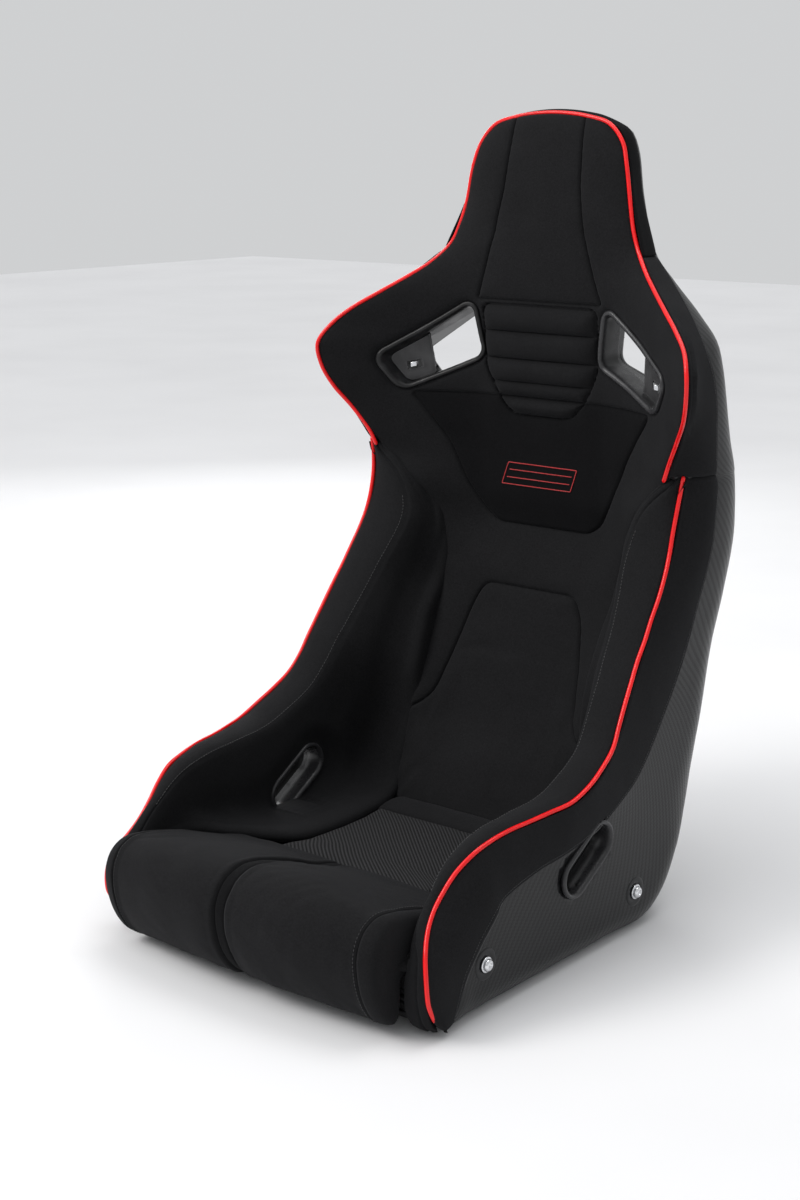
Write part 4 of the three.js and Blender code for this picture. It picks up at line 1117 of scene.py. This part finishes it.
def border_gap(flat):
    """Distance from the outer edge of the cover; negative outside it."""
    outer = edge_at(flat[:, 1])[0] + tuck_at(flat[:, 1])
    return np.minimum(outer - np.abs(flat[:, 0]), np.minimum(BACK_TOP - flat[:, 1], flat[:, 1] - BACK_FOOT))


def triangulated_back():
    """Points and triangles of the back in (x, z), with every seam along triangle edges."""
    z = np.linspace(BACK_FOOT, BACK_TOP, 300)
    right = np.stack([edge_at(z)[0] + tuck_at(z), z], axis=1)
    top = np.stack([np.linspace(right[-1, 0], -right[-1, 0], 60), np.full(60, float(BACK_TOP))], axis=1)[1:-1]
    foot = np.stack([np.linspace(-right[0, 0], right[0, 0], 70), np.full(70, float(BACK_FOOT))], axis=1)[1:-1]
    border = np.vstack([right, top, (right * (-1, 1))[::-1], foot])
    points = [border]
    edges = [(i, (i + 1) % len(border)) for i in range(len(border))]
    count = len(border)
    extra = []
    closed_lip = [(SLOT_LIP, True), (SLOT_LIP * (-1, 1), True)]
    for line, closed in seam_lines():
        good = border_gap(line) > 0.6
        points.append(line)
        last = len(line) if closed else len(line) - 1
        for i in range(last):
            j = (i + 1) % len(line)
            if good[i] and good[j]:
                edges.append((count + i, count + j))
        count += len(line)
    for line, closed in seam_lines() + closed_lip:
        sideways = outline_normals(line) if closed else np.tile([0.0, 1.0], (len(line), 1))
        for offset in (-4.6, -2.6, -1.2, 1.2, 2.6, 4.6):
            extra.append(line + sideways * offset)
    extra = np.vstack(extra)
    lines = [line for line, _ in seam_lines()]
    gap = np.min([nearest(extra, line, len(line) > 75)[1] for line in lines], axis=0)
    extra = extra[(gap > 0.9) & (border_gap(extra) > 1.5)]
    _, first = np.unique(np.round(extra / 1.1).astype(int), axis=0, return_index=True)
    extra = extra[np.sort(first)]
    xs, zs = np.meshgrid(np.arange(-285, 286, 4.0), np.arange(BACK_FOOT + 2, BACK_TOP, 3.6))
    xs[::2] += 2.0
    filler = np.stack([xs.ravel(), zs.ravel()], axis=1)
    gap = np.min([nearest(filler, line, closed)[1] for line, closed in seam_lines() + closed_lip], axis=0)
    filler = filler[(gap > 6.4) & (border_gap(filler) > 2.5)]
    cloud = np.vstack(points + [extra, filler])
    result = delaunay_2d_cdt([Vector(p) for p in cloud.tolist()], edges, [], 0, 1e-3)
    flat = np.array([tuple(p) for p in result[0]])
    faces = np.array([tuple(f) for f in result[2]])
    middle = flat[faces].mean(axis=1)
    return flat, faces[border_gap(middle) > 0]


def build_back():
    flat, faces = triangulated_back()
    x, z = flat[:, 0], flat[:, 1]
    outer = edge_at(z)[0]
    lift_top = crown_at(z) * (1 - np.clip(np.abs(x) / outer, 0, 1) ** 2)
    points = np.stack([x, back_y(x, z), z + lift_top], axis=1)
    slope_x = (back_y(x + 0.5, z) - back_y(x - 0.5, z))
    slope_z = (back_y(x, z + 0.5) - back_y(x, z - 0.5))
    normals = np.stack([slope_x, -np.ones(len(x)), slope_z], axis=1)
    normals /= np.linalg.norm(normals, axis=1, keepdims=True)
    seam = np.full(len(flat), 1e3)
    for line, closed in seam_lines()[:len(PANELS)]:
        seam = np.minimum(seam, nearest(flat, line, closed)[1])
    absolute = np.stack([np.abs(x), z], axis=1)
    _, lip = nearest(absolute, SLOT_LIP)
    lip[inside(absolute, SLOT_LIP)] = 0
    border = (outer - np.abs(x)) * 1.15
    top = BACK_TOP - z
    owner = owner_of(flat)
    crowns = np.array([3.0] + [p[1] for p in PANELS.values()])[owner]
    lift = crowns * (1 - np.exp(-seam / 11)) * (1 - np.exp(-lip / 10))
    lift *= 1 - np.exp(-np.clip(border, 0, 99) / 9)
    lift *= 1 - np.exp(-np.clip(top, 0, None) / 9)
    lift -= 2.4 * np.exp(-(seam / 1.9) ** 2) + 2.5 * np.exp(-(lip / 3.0) ** 2)
    # four sewn rolls
    bands = np.array([724, *RIB_SEAMS, 574], float)
    ribs = owner == 2
    for high, low in zip(bands[:-1], bands[1:]):
        roll = ribs & (z <= high) & (z > low)
        t = (z - low) / (high - low)
        swell = np.sqrt(np.clip(1 - np.abs(2 * t - 1.08) ** 2.2, 0, 1))
        lift[roll] += (10.5 * swell * (1 - np.exp(-seam / 7)) - 3.5)[roll]
    lift += 0.5 * soft_noise(points, 60, 9)
    lift += 0.25 * np.exp(-seam / 5) * np.sin((x + z) * 0.55)
    vertices = points + normals * lift[:, None]
    a, b, c = (vertices[faces[:, k]] for k in range(3))
    first = np.cross(b - a, c - b)
    turn = first[:, 1] > 0
    faces[turn] = faces[turn][:, ::-1]
    middle = flat[faces].mean(axis=1)
    hole = inside(np.stack([np.abs(middle[:, 0]), middle[:, 1]], axis=1), SLOT_HOLE)
    owners = owner_of(middle)
    names = ["back_frame_cover", *PANELS]
    looks = [(CLOTH, "seat_cloth")] + [(p[2], p[3]) for p in PANELS.values()]
    for index, (node_name, (material, slot_name)) in enumerate(zip(names, looks)):
        part = faces[(owners == index) & ~hole]
        body, closed, used = thicken(vertices, normals, part, 14.0)
        weave = flat[used] * (1.06, 1.03)
        panel = mesh_object(f"{node_name}_sewn", body, closed, material, np.vstack([weave, weave]))
        if node_name == "lumbar_panel":
            inflate(panel, np.concatenate([seam[used] < 3.5, np.ones(len(used), bool)]), 1.8)
        place(panel, SEAT, slot_name, node_name, fill=0.8)
    return BVHTree.FromPolygons((vertices * MM).tolist(), faces.tolist())


BACK_TREE = build_back()


def back_surface(x, z):
    """y of the padded back's face, found along Y."""
    hit = BACK_TREE.ray_cast(Vector((x * MM, -0.6, z * MM)), Vector((0, 1, 0)))
    return hit[0].y / MM if hit[0] else float(back_y(np.array(x), np.array(z)))


def shell_rear(x, z):
    hit = SHELL_TREE.ray_cast(Vector((x * MM, 0.8, z * MM)), Vector((0, -1, 0)))
    return hit[0].y / MM if hit[0] else 330.0


# ---- harness slots ----
def build_bezels():
    outline = rounded(SHOULDER_SLOT, 12, 1.6)
    outward = outline_normals(outline)
    lip = [(3.2, 30), (7.6, 3.5), (8.3, 0.5), (8.0, -2.4), (6.6, -4.2), (4.6, -4.6), (2.6, -3.6), (1.0, -1.2),
           (0.0, 3.0), (-0.8, 12), (-1.8, 26), (-2.6, 60)]

    def face_point(sign, rear_at):
        base = {}

        def at(index, grow, depth):
            if index not in base:
                x, z = outline[index] + outward[index] * 6.5
                base[index] = back_surface(x, z)
            x, z = outline[index] + outward[index] * grow
            y = base[index] + depth if depth < 55 else rear_at
            return (sign * x, y, z)
        return at

    for side, sign in (("right", 1), ("left", -1)):
        at = face_point(sign, 314.5)
        funnel = swept_rim(f"shoulder_bezel_front_{side}", range(len(outline)), lip, at, PLASTIC)
        place(funnel, SEAT, "bezel_plastic", f"shoulder_bezel_{side}")
        rear = {i: shell_rear(*(outline[i] + outward[i] * 6.5)) for i in range(len(outline))}
        rear_lip = [(2.8, -12), (7.4, -2.0), (8.1, 0.6), (7.6, 2.8), (5.6, 3.8), (3.0, 3.2), (0.6, 0.6),
                    (-0.4, -4), (-0.6, -12)]

        def rear_point(index, grow, depth, rear=rear, sign=sign):
            x, z = outline[index] + outward[index] * grow
            y = max(rear[index] + depth, 315.4) if depth < -3 else rear[index] + depth
            return (sign * x, y, z)
        collar = swept_rim(f"shoulder_bezel_rear_{side}", range(len(outline)), rear_lip, rear_point, PLASTIC)
        place(collar, SEAT, "bezel_plastic", f"shoulder_rear_bezel_{side}")
        build_blanking(side, sign)


def build_blanking(side, sign):
    """Clip-in plate over the outer end of a shoulder slot, with a latch window and a clip."""
    shape = grown(SHOULDER_SLOT, 12, -1.6)
    x = np.linspace(158, 216, 59)
    z = np.linspace(604, 690, 87)
    gx, gz = np.meshgrid(x, z)
    slant = 160 + (gz - 640) * 0.12
    flat = np.stack([np.maximum(gx, slant), gz], axis=2)
    foot, distance = nearest(flat.reshape(-1, 2), shape)
    outside_plate = ~inside(flat.reshape(-1, 2), shape)
    moved = flat.reshape(-1, 2)
    near = outside_plate & (distance < 1.2)
    moved[near] = foot[near]
    surface = back_y(moved[:, 0], moved[:, 1]) + 15.5
    window = rounded([(176, 641), (193, 637), (192, 627), (175, 631)], 1.5, 0.8)
    edge_gap = nearest(moved, shape)[1]
    ridge = np.exp(-((moved[:, 0] - slant.ravel()) / 2.5) ** 2) * 2.2
    dish = 1.2 * (1 - np.exp(-edge_gap / 4))
    _, frame_gap = nearest(moved, window)
    surface = surface - ridge + dish * 0.6 - 0.8 * np.exp(-(frame_gap / 1.6) ** 2)
    grid = np.stack([moved[:, 0], surface, moved[:, 1]], axis=1).reshape(gx.shape + (3,)) * (sign, 1, 1)

    def keep(p):
        q = np.stack([np.abs(p[:, 0]), p[:, 2]], axis=1)
        return inside(q, shape) & ~inside(q, window)
    plate = sheet_object(f"blanking_plate_{side}", grid, 2.4, PLATE_PLASTIC, keep=keep,
                         outward=np.array([0, -1, 0]))
    place(plate, SEAT, "bezel_plastic", f"slot_blanking_plate_{side}")
    # clip: a small bent tongue at the outer end of the window
    bend = curve([(190, 0, 633), (186, -3.2, 633.5), (181, -3.4, 634.5), (179.5, -1.0, 635)], 12)
    rows = []
    for px, py, pz in bend:
        y = float(back_y(np.array(px), np.array(pz))) + 15.0 + py
        rows.append([(sign * px, y, pz - w) for w in np.linspace(-3.2, 3.2, 7)])
    clip = sheet_object(f"blanking_clip_{side}", np.array(rows), 0.9, CHROME, outward=np.array([0, -1, 0]))
    place(clip, SEAT, "bezel_plastic")


def build_lap_bezels():
    outline = lap_outline(0, 1.6)
    centre = np.array([LAP_Y, LAP_Z])
    outward = outline_normals(outline)
    if ((outline - centre) * outward).sum() < 0:
        outward = -outward
    inner = [(3.0, 225.5), (3.0, 200.5), (7.0, 200.5), (7.6, 198.4), (6.9, 196.4), (5.2, 195.4), (3.2, 195.8),
             (1.2, 197.4), (0.2, 200.5), (0.0, 212), (0.0, 225.5)]
    outer = [(3.0, 226.8), (3.0, 247), (6.9, 248.2), (7.5, 250.2), (6.6, 252.8), (4.6, 253.8), (2.4, 253.0),
             (0.8, 250.6), (0.0, 246), (0.0, 226.8)]
    for side, sign in (("right", 1), ("left", -1)):
        def at(index, grow, x, sign=sign):
            y, z = outline[index] + outward[index] * grow
            return (sign * x, y, z)
        a = swept_rim(f"lap_bezel_ring_inner_{side}", range(len(outline)), inner, at, PLASTIC)
        b = swept_rim(f"lap_bezel_ring_outer_{side}", range(len(outline)), outer, at, PLASTIC)
        place(a, SEAT, "bezel_plastic", f"lap_bezel_inner_{side}")
        place(b, SEAT, "bezel_plastic", f"lap_bezel_outer_{side}")


build_bezels()
build_lap_bezels()


# ---- side bolts ----
TURNED_SIDES = 48


def turned_object(name, profile, x, y, z, sign, material, hexagon=0):
    """Round part on the side of the shell; the last `hexagon` rings take the socket's shape."""
    angle = np.linspace(0, 2 * np.pi, TURNED_SIDES, endpoint=False)
    flats = 1 / np.cos((angle + np.pi / 6) % (np.pi / 3) - np.pi / 6)
    rings = []
    for k, (r, d) in enumerate(profile):
        radius = r * (flats if k >= len(profile) - hexagon else 1)
        rings.append(np.stack([np.full(TURNED_SIDES, sign * (x + d)), y + radius * np.cos(angle),
                               z + radius * np.sin(angle)], axis=1))
    return mesh_object(name, np.vstack(rings), closed_faces(len(rings), TURNED_SIDES), material)


BOLT = [(4.0, -8), (4.0, -0.2), (6.7, -0.1), (7.0, 0.3), (7.0, 1.0), (6.9, 1.8), (6.4, 2.9), (5.5, 3.8),
        (4.4, 4.3), (3.4, 4.45), (2.9, 4.45), (2.5, 4.1), (2.4, 1.6), (0.8, 1.2), (0.05, 1.1)]
WASHER = [(4.3, 0.1), (8.7, 0.0), (9.0, 0.3), (9.0, 1.2), (8.6, 1.55), (4.6, 1.6), (4.3, 1.3)]
for place_name, (bolt_y, bolt_z) in BOLTS.items():
    for which, sign in (("right", 1), ("left", -1)):
        face_x = MOUNT_FACE_X + 0.3
        bolt = turned_object(f"button_bolt_{place_name}_{which}", BOLT, face_x + 1.9, bolt_y, bolt_z, sign,
                             CHROME, hexagon=4)
        place(bolt, SEAT, "bolt_chrome", f"mount_bolt_{place_name}_{which}")
        washer = turned_object(f"bolt_washer_{place_name}_{which}", WASHER, face_x, bolt_y, bolt_z, sign,
                               CHROME)
        place(washer, SEAT, "bolt_chrome", f"mount_washer_{place_name}_{which}")
        pad = turned_object(f"mount_pad_{place_name}_{which}",
                            [(18.5, -3), (18.4, -1.0), (17.6, -0.2), (16.6, 0.1), (4.6, 0.1), (4.4, -2)],
                            MOUNT_FACE_X, bolt_y, bolt_z, sign, CARBON)
        place(pad, SEAT, "shell_carbon")


# ---- base cushion ----
THIGH_TOP = [(-86, 94), (-130, 111), (-190, 135), (-235, 147), (-264, 147.5)]
THIGH_NOSE = [(-290, 135), (-304, 110), (-303, 76), (-290, 42), (-266, 17), (-242, 9)]
THIGH_UNDER = [(-236, 16), (-233, 40), (-230, 62), (-160, 62), (-88, 62)]
PAD_OUTLINE = THIGH_TOP + THIGH_NOSE + THIGH_UNDER


def thigh_row(x, shrink=0.0, count=110):
    """Section of the thigh pad at x; shrink draws the whole section in towards its middle."""
    t = (abs(x) / 200) ** 2
    outline = []
    for y, z in PAD_OUTLINE:
        if z > 17 and y > -237:
            ahead = 0.0
        else:
            ahead = min(1.0, max(0.0, (-236 - y) / 68))
        outline.append((x, y + 20 * t * ahead, z - 16 * t * max(0.0, (z - 60) / 90)))
    ring = curve(outline, count, closed=True)
    centre = np.array([x, -190 if shrink else 0, 78])
    if shrink:
        inward = ring - centre
        ring = ring - inward / np.linalg.norm(inward, axis=1, keepdims=True) * shrink
    return ring


LOBE_COLUMNS = 44
LOBE_DRAW = 5.0


def thigh_body(name, x0, x1, nodes_for, material, side_draw, slots, seed=1):
    """Crowned pad between two end seams, drawn in where it is sewn."""
    ts = np.linspace(0, 1, LOBE_COLUMNS)
    rows = []
    width = abs(x1 - x0)
    for t in ts:
        x = x0 + (x1 - x0) * t
        near, far = t * width, (1 - t) * width
        draw = LOBE_DRAW * (math.exp(-near / side_draw[0]) + 0.5 * math.exp(-far / side_draw[1])) + 0.01
        rows.append(thigh_row(x, draw))
    grid = np.array(rows)
    normals = normals_of(grid, wrap=True)
    outward = grid - grid.mean(axis=1, keepdims=True)
    if (normals * outward).sum(axis=2).mean() < 0:
        normals = -normals
    free = np.clip((grid[..., 2] - 64) / 10, 0, 1) + np.clip((-238 - grid[..., 1]) / 8, 0, 1)
    lift = (0.7 * soft_noise(grid, 75, seed) + 0.35 * soft_noise(grid, 24, seed + 1)) * np.clip(free, 0, 1)
    free = np.clip(free, 0, 1)
    free[:2] = free[-2:] = 0
    grid = grid + normals * (lift - 2.0 * free)[..., None]
    weave = lengths_of(grid).reshape(-1, 2)
    body = mesh_object(name, grid.reshape(-1, 3), closed_faces(*grid.shape[:2]), material, weave)
    inflate(body, free.ravel() < 0.4, 3.5)
    place(body, CUSHION, slots, *nodes_for, fill=0.85)
    return grid


END_X = (187.9, 190.5, 194, 198, 201.5, 204, 206, 207.2, 207.6, 207.8)
END_SHARE = (0.978, 0.987, 0.985, 0.97, 0.94, 0.89, 0.8, 0.62, 0.34, 0.05)


def build_thigh():
    for side, sign in (("right", 1), ("left", -1)):
        grid = thigh_body(f"thigh_pad_lobe_{side}", sign * 9.5, sign * 187.6, [f"thigh_pad_{side}"], CLOTH,
                          (7.0, 2.5), "seat_cloth", seed=21 + sign)
        end_rows = []
        middle = np.array([0, -262, 78])
        for x, share in zip(END_X, END_SHARE):
            row = thigh_row(sign * min(x, 206), 0.01)
            flat_row = middle + (row - middle) * (1, share, share)
            flat_row[:, 0] = sign * x
            end_rows.append(flat_row)
        end = np.array(end_rows)
        gusset = mesh_object(f"thigh_pad_end_{side}", end.reshape(-1, 3), closed_faces(*end.shape[:2]), CLOTH,
                             lengths_of(end).reshape(-1, 2))
        place(gusset, CUSHION, "seat_cloth", f"thigh_gusset_{side}", fill=0.85)
        rim = grid[-2, 4:72]
        outward = rim - np.array([sign * 188, -190, 78])
        line = grid[-2, 4:72] + 0.2 * outward / 100
        stitches = stitch_object(f"thigh_end_stitch_{side}", [(line, outward)],
                                 THREAD, pitch=4.4, length=2.6, radius=0.3)
        place(stitches, CUSHION, "seat_cloth")
    rows = []
    for x in np.linspace(-8.8, 8.8, 11):
        rows.append(thigh_row(x, 6.0 + 3.0 * (x / 8.8) ** 4, 110))
    grid = np.array(rows)
    valley = mesh_object("thigh_pad_valley", grid.reshape(-1, 3), closed_faces(*grid.shape[:2]), DARK_CLOTH,
                         lengths_of(grid).reshape(-1, 2))
    place(valley, CUSHION, "dark_cloth", "thigh_center_gusset", fill=0.7)


PAD_STEP = 2.5


def pad_top(name, half_width, y0, y1, top, floor, roll, material, node_name, slot_name, seed=4, swell=2.0):
    """Low pad on the pan: a crowned top that rolls over its edges, closed underneath."""
    ys = np.linspace(y0, y1, int((y1 - y0) / PAD_STEP) + 1)
    us = np.linspace(-1, 1, 91)
    grid = []
    for y in ys:
        half = half_width(y)
        x = us * half
        edge = np.minimum(half - np.abs(x), np.minimum(y - y0, y1 - y))
        t = np.clip(edge / roll, 0, 1)
        z = top(x, y) - roll * (1 - np.sqrt(1 - (1 - t) ** 2)) + swell * (1 - np.exp(-edge / 14))
        grid.append(np.stack([x, np.full_like(x, y), z], axis=1))
    grid = np.array(grid)
    grid[..., 2] += 0.4 * soft_noise(grid, 50, seed)
    rows, cols = grid.shape[:2]
    depth = (grid[..., 2] - floor).reshape(-1)
    faces = grid_faces(rows, cols)
    flat_up = np.zeros((rows * cols, 3)) + (0, 0, 1)
    body, closed, used = thicken(grid.reshape(-1, 3), flat_up, faces, depth)
    weave = lengths_of(grid).reshape(-1, 2)[used]
    pad = mesh_object(name, body, closed, material, np.vstack([weave, weave]))
    border = np.zeros((rows, cols), bool)
    border[:2] = border[-2:] = True
    border[:, :2] = border[:, -2:] = True
    if name == "seat_insert_pad":
        inflate(pad, np.concatenate([border.ravel()[used], np.ones(len(used), bool)]), 2.0)
    return place(pad, CUSHION, slot_name, node_name, fill=0.8)


def insert_half(y):
    return np.interp(y, [-86, -62, -40, 60, 96], [119, 114, 105, 103, 106])


def insert_top(x, y):
    return np.interp(y, [-86, -40, 20, 60, 96], [90, 88.5, 88, 89, 91]) - 0.00008 * x * x


def roll_top(x, y):
    t = (y - 120) / 26
    return 97 - 6 * t * t - np.abs(x) / 60


build_thigh()
pad_top("seat_insert_pad", insert_half, -85, 94.3, insert_top, 61.2, 4.0, GRIP, "seat_insert", "grip_cloth")
pad_top("seat_rear_pad", lambda y: 113 - 0.02 * (y - 95), 95.2, 147, roll_top, 61.2, 9.0, CLOTH,
        "seat_rear_roll", "seat_cloth", seed=8, swell=1.5)

# ---- CAD nodes that stay in view ----
for name, obj in NODES.items():
    if name.endswith("_foam"):
        finish = FOAM
    elif name.startswith("hook_strip"):
        finish = HOOKS
    elif name.startswith(("side_mount_plate", "threaded_insert")):
        finish = STEEL
    else:
        continue
    for material_slot in obj.material_slots:
        material_slot.material = finish


# ---- stitched motif on the chest panel: a long slanted bar with two lines in it ----
def motif_rows():
    rows = []
    for corners in (
        [(-58, 489), (48, 489), (58, 517), (-48, 517), (-58, 489)],
        [(-50, 498), (46, 498)],
        [(-46, 508), (50, 508)],
    ):
        path = np.array(corners, float)
        s = np.concatenate([[0], np.cumsum(np.linalg.norm(np.diff(path, axis=0), axis=1))])
        at = np.linspace(0, s[-1], 160)
        x, z = (np.interp(at, s, c) for c in path.T)
        y = np.array([back_surface(a, b) for a, b in zip(x, z)]) - 0.3
        rows.append((np.stack([x, y, z], axis=1), np.tile([0, -1.0, 0.1], (len(at), 1))))
    return rows


place(stitch_object("chest_motif_thread", motif_rows(), RED_THREAD, pitch=1.5, length=2.0, radius=0.62), SEAT,
      "piping_red")


# ---- studio ----
def studio():
    floor_material, nodes, links, shader = new_material("studio_floor", (0.8, 0.8, 0.81), 0.7, specular=0.1)
    place_at = nodes.new("ShaderNodeTexCoord").outputs["Object"]
    mottle = noise(nodes, links, place_at, 1.5, 3.0)
    links.new(ramp(nodes, links, mottle, [(0.3, (0.78, 0.78, 0.79)), (0.7, (0.82, 0.82, 0.83))]),
              shader.inputs["Base Color"])
    size, z = 9000.0, -0.6
    corners = [(-size, -size, z), (size, -size, z), (size, size, z), (-size, size, z)]
    floor = mesh_object("studio_floor", corners, [(0, 1, 2, 3)], floor_material, smooth=False)
    world = bpy.data.worlds.new("studio_world")
    world.use_nodes = True
    background = world.node_tree.nodes["Background"]
    background.inputs["Color"].default_value = (0.78, 0.79, 0.8, 1)
    background.inputs["Strength"].default_value = 0.8
    bpy.context.scene.world = world
    lamps = [
        ("key", (-1.6, -2.2, 2.6), (0, 0, 0.5), 1.5, 48, (1, 0.98, 0.96)),
        ("top", (0.4, 0.6, 2.8), (0, 0.1, 0.5), 1.6, 18, (1, 1, 1)),
        ("back", (-2.2, 2.0, 1.4), (0, 0.2, 0.5), 1.4, 14, (1, 1, 1)),
    ]
    sun = bpy.data.lights.new("sky_panel", "SUN")
    sun.energy = 1.0
    sun.angle = math.radians(50)
    panel = bpy.data.objects.new("sky_panel", sun)
    panel.rotation_euler = (math.radians(28), math.radians(-24), 0)
    bpy.context.scene.collection.objects.link(panel)
    for name, at, to, width, power, color in lamps:
        data = bpy.data.lights.new(name, "AREA")
        data.shape = "DISK"
        data.size = width
        data.energy = power
        data.color = color
        lamp = bpy.data.objects.new(name, data)
        lamp.location = at
        lamp.rotation_euler = (Vector(to) - Vector(at)).to_track_quat("-Z", "Y").to_euler()
        bpy.context.scene.collection.objects.link(lamp)


studio()
bpy.context.scene.view_settings.view_transform = "Standard"
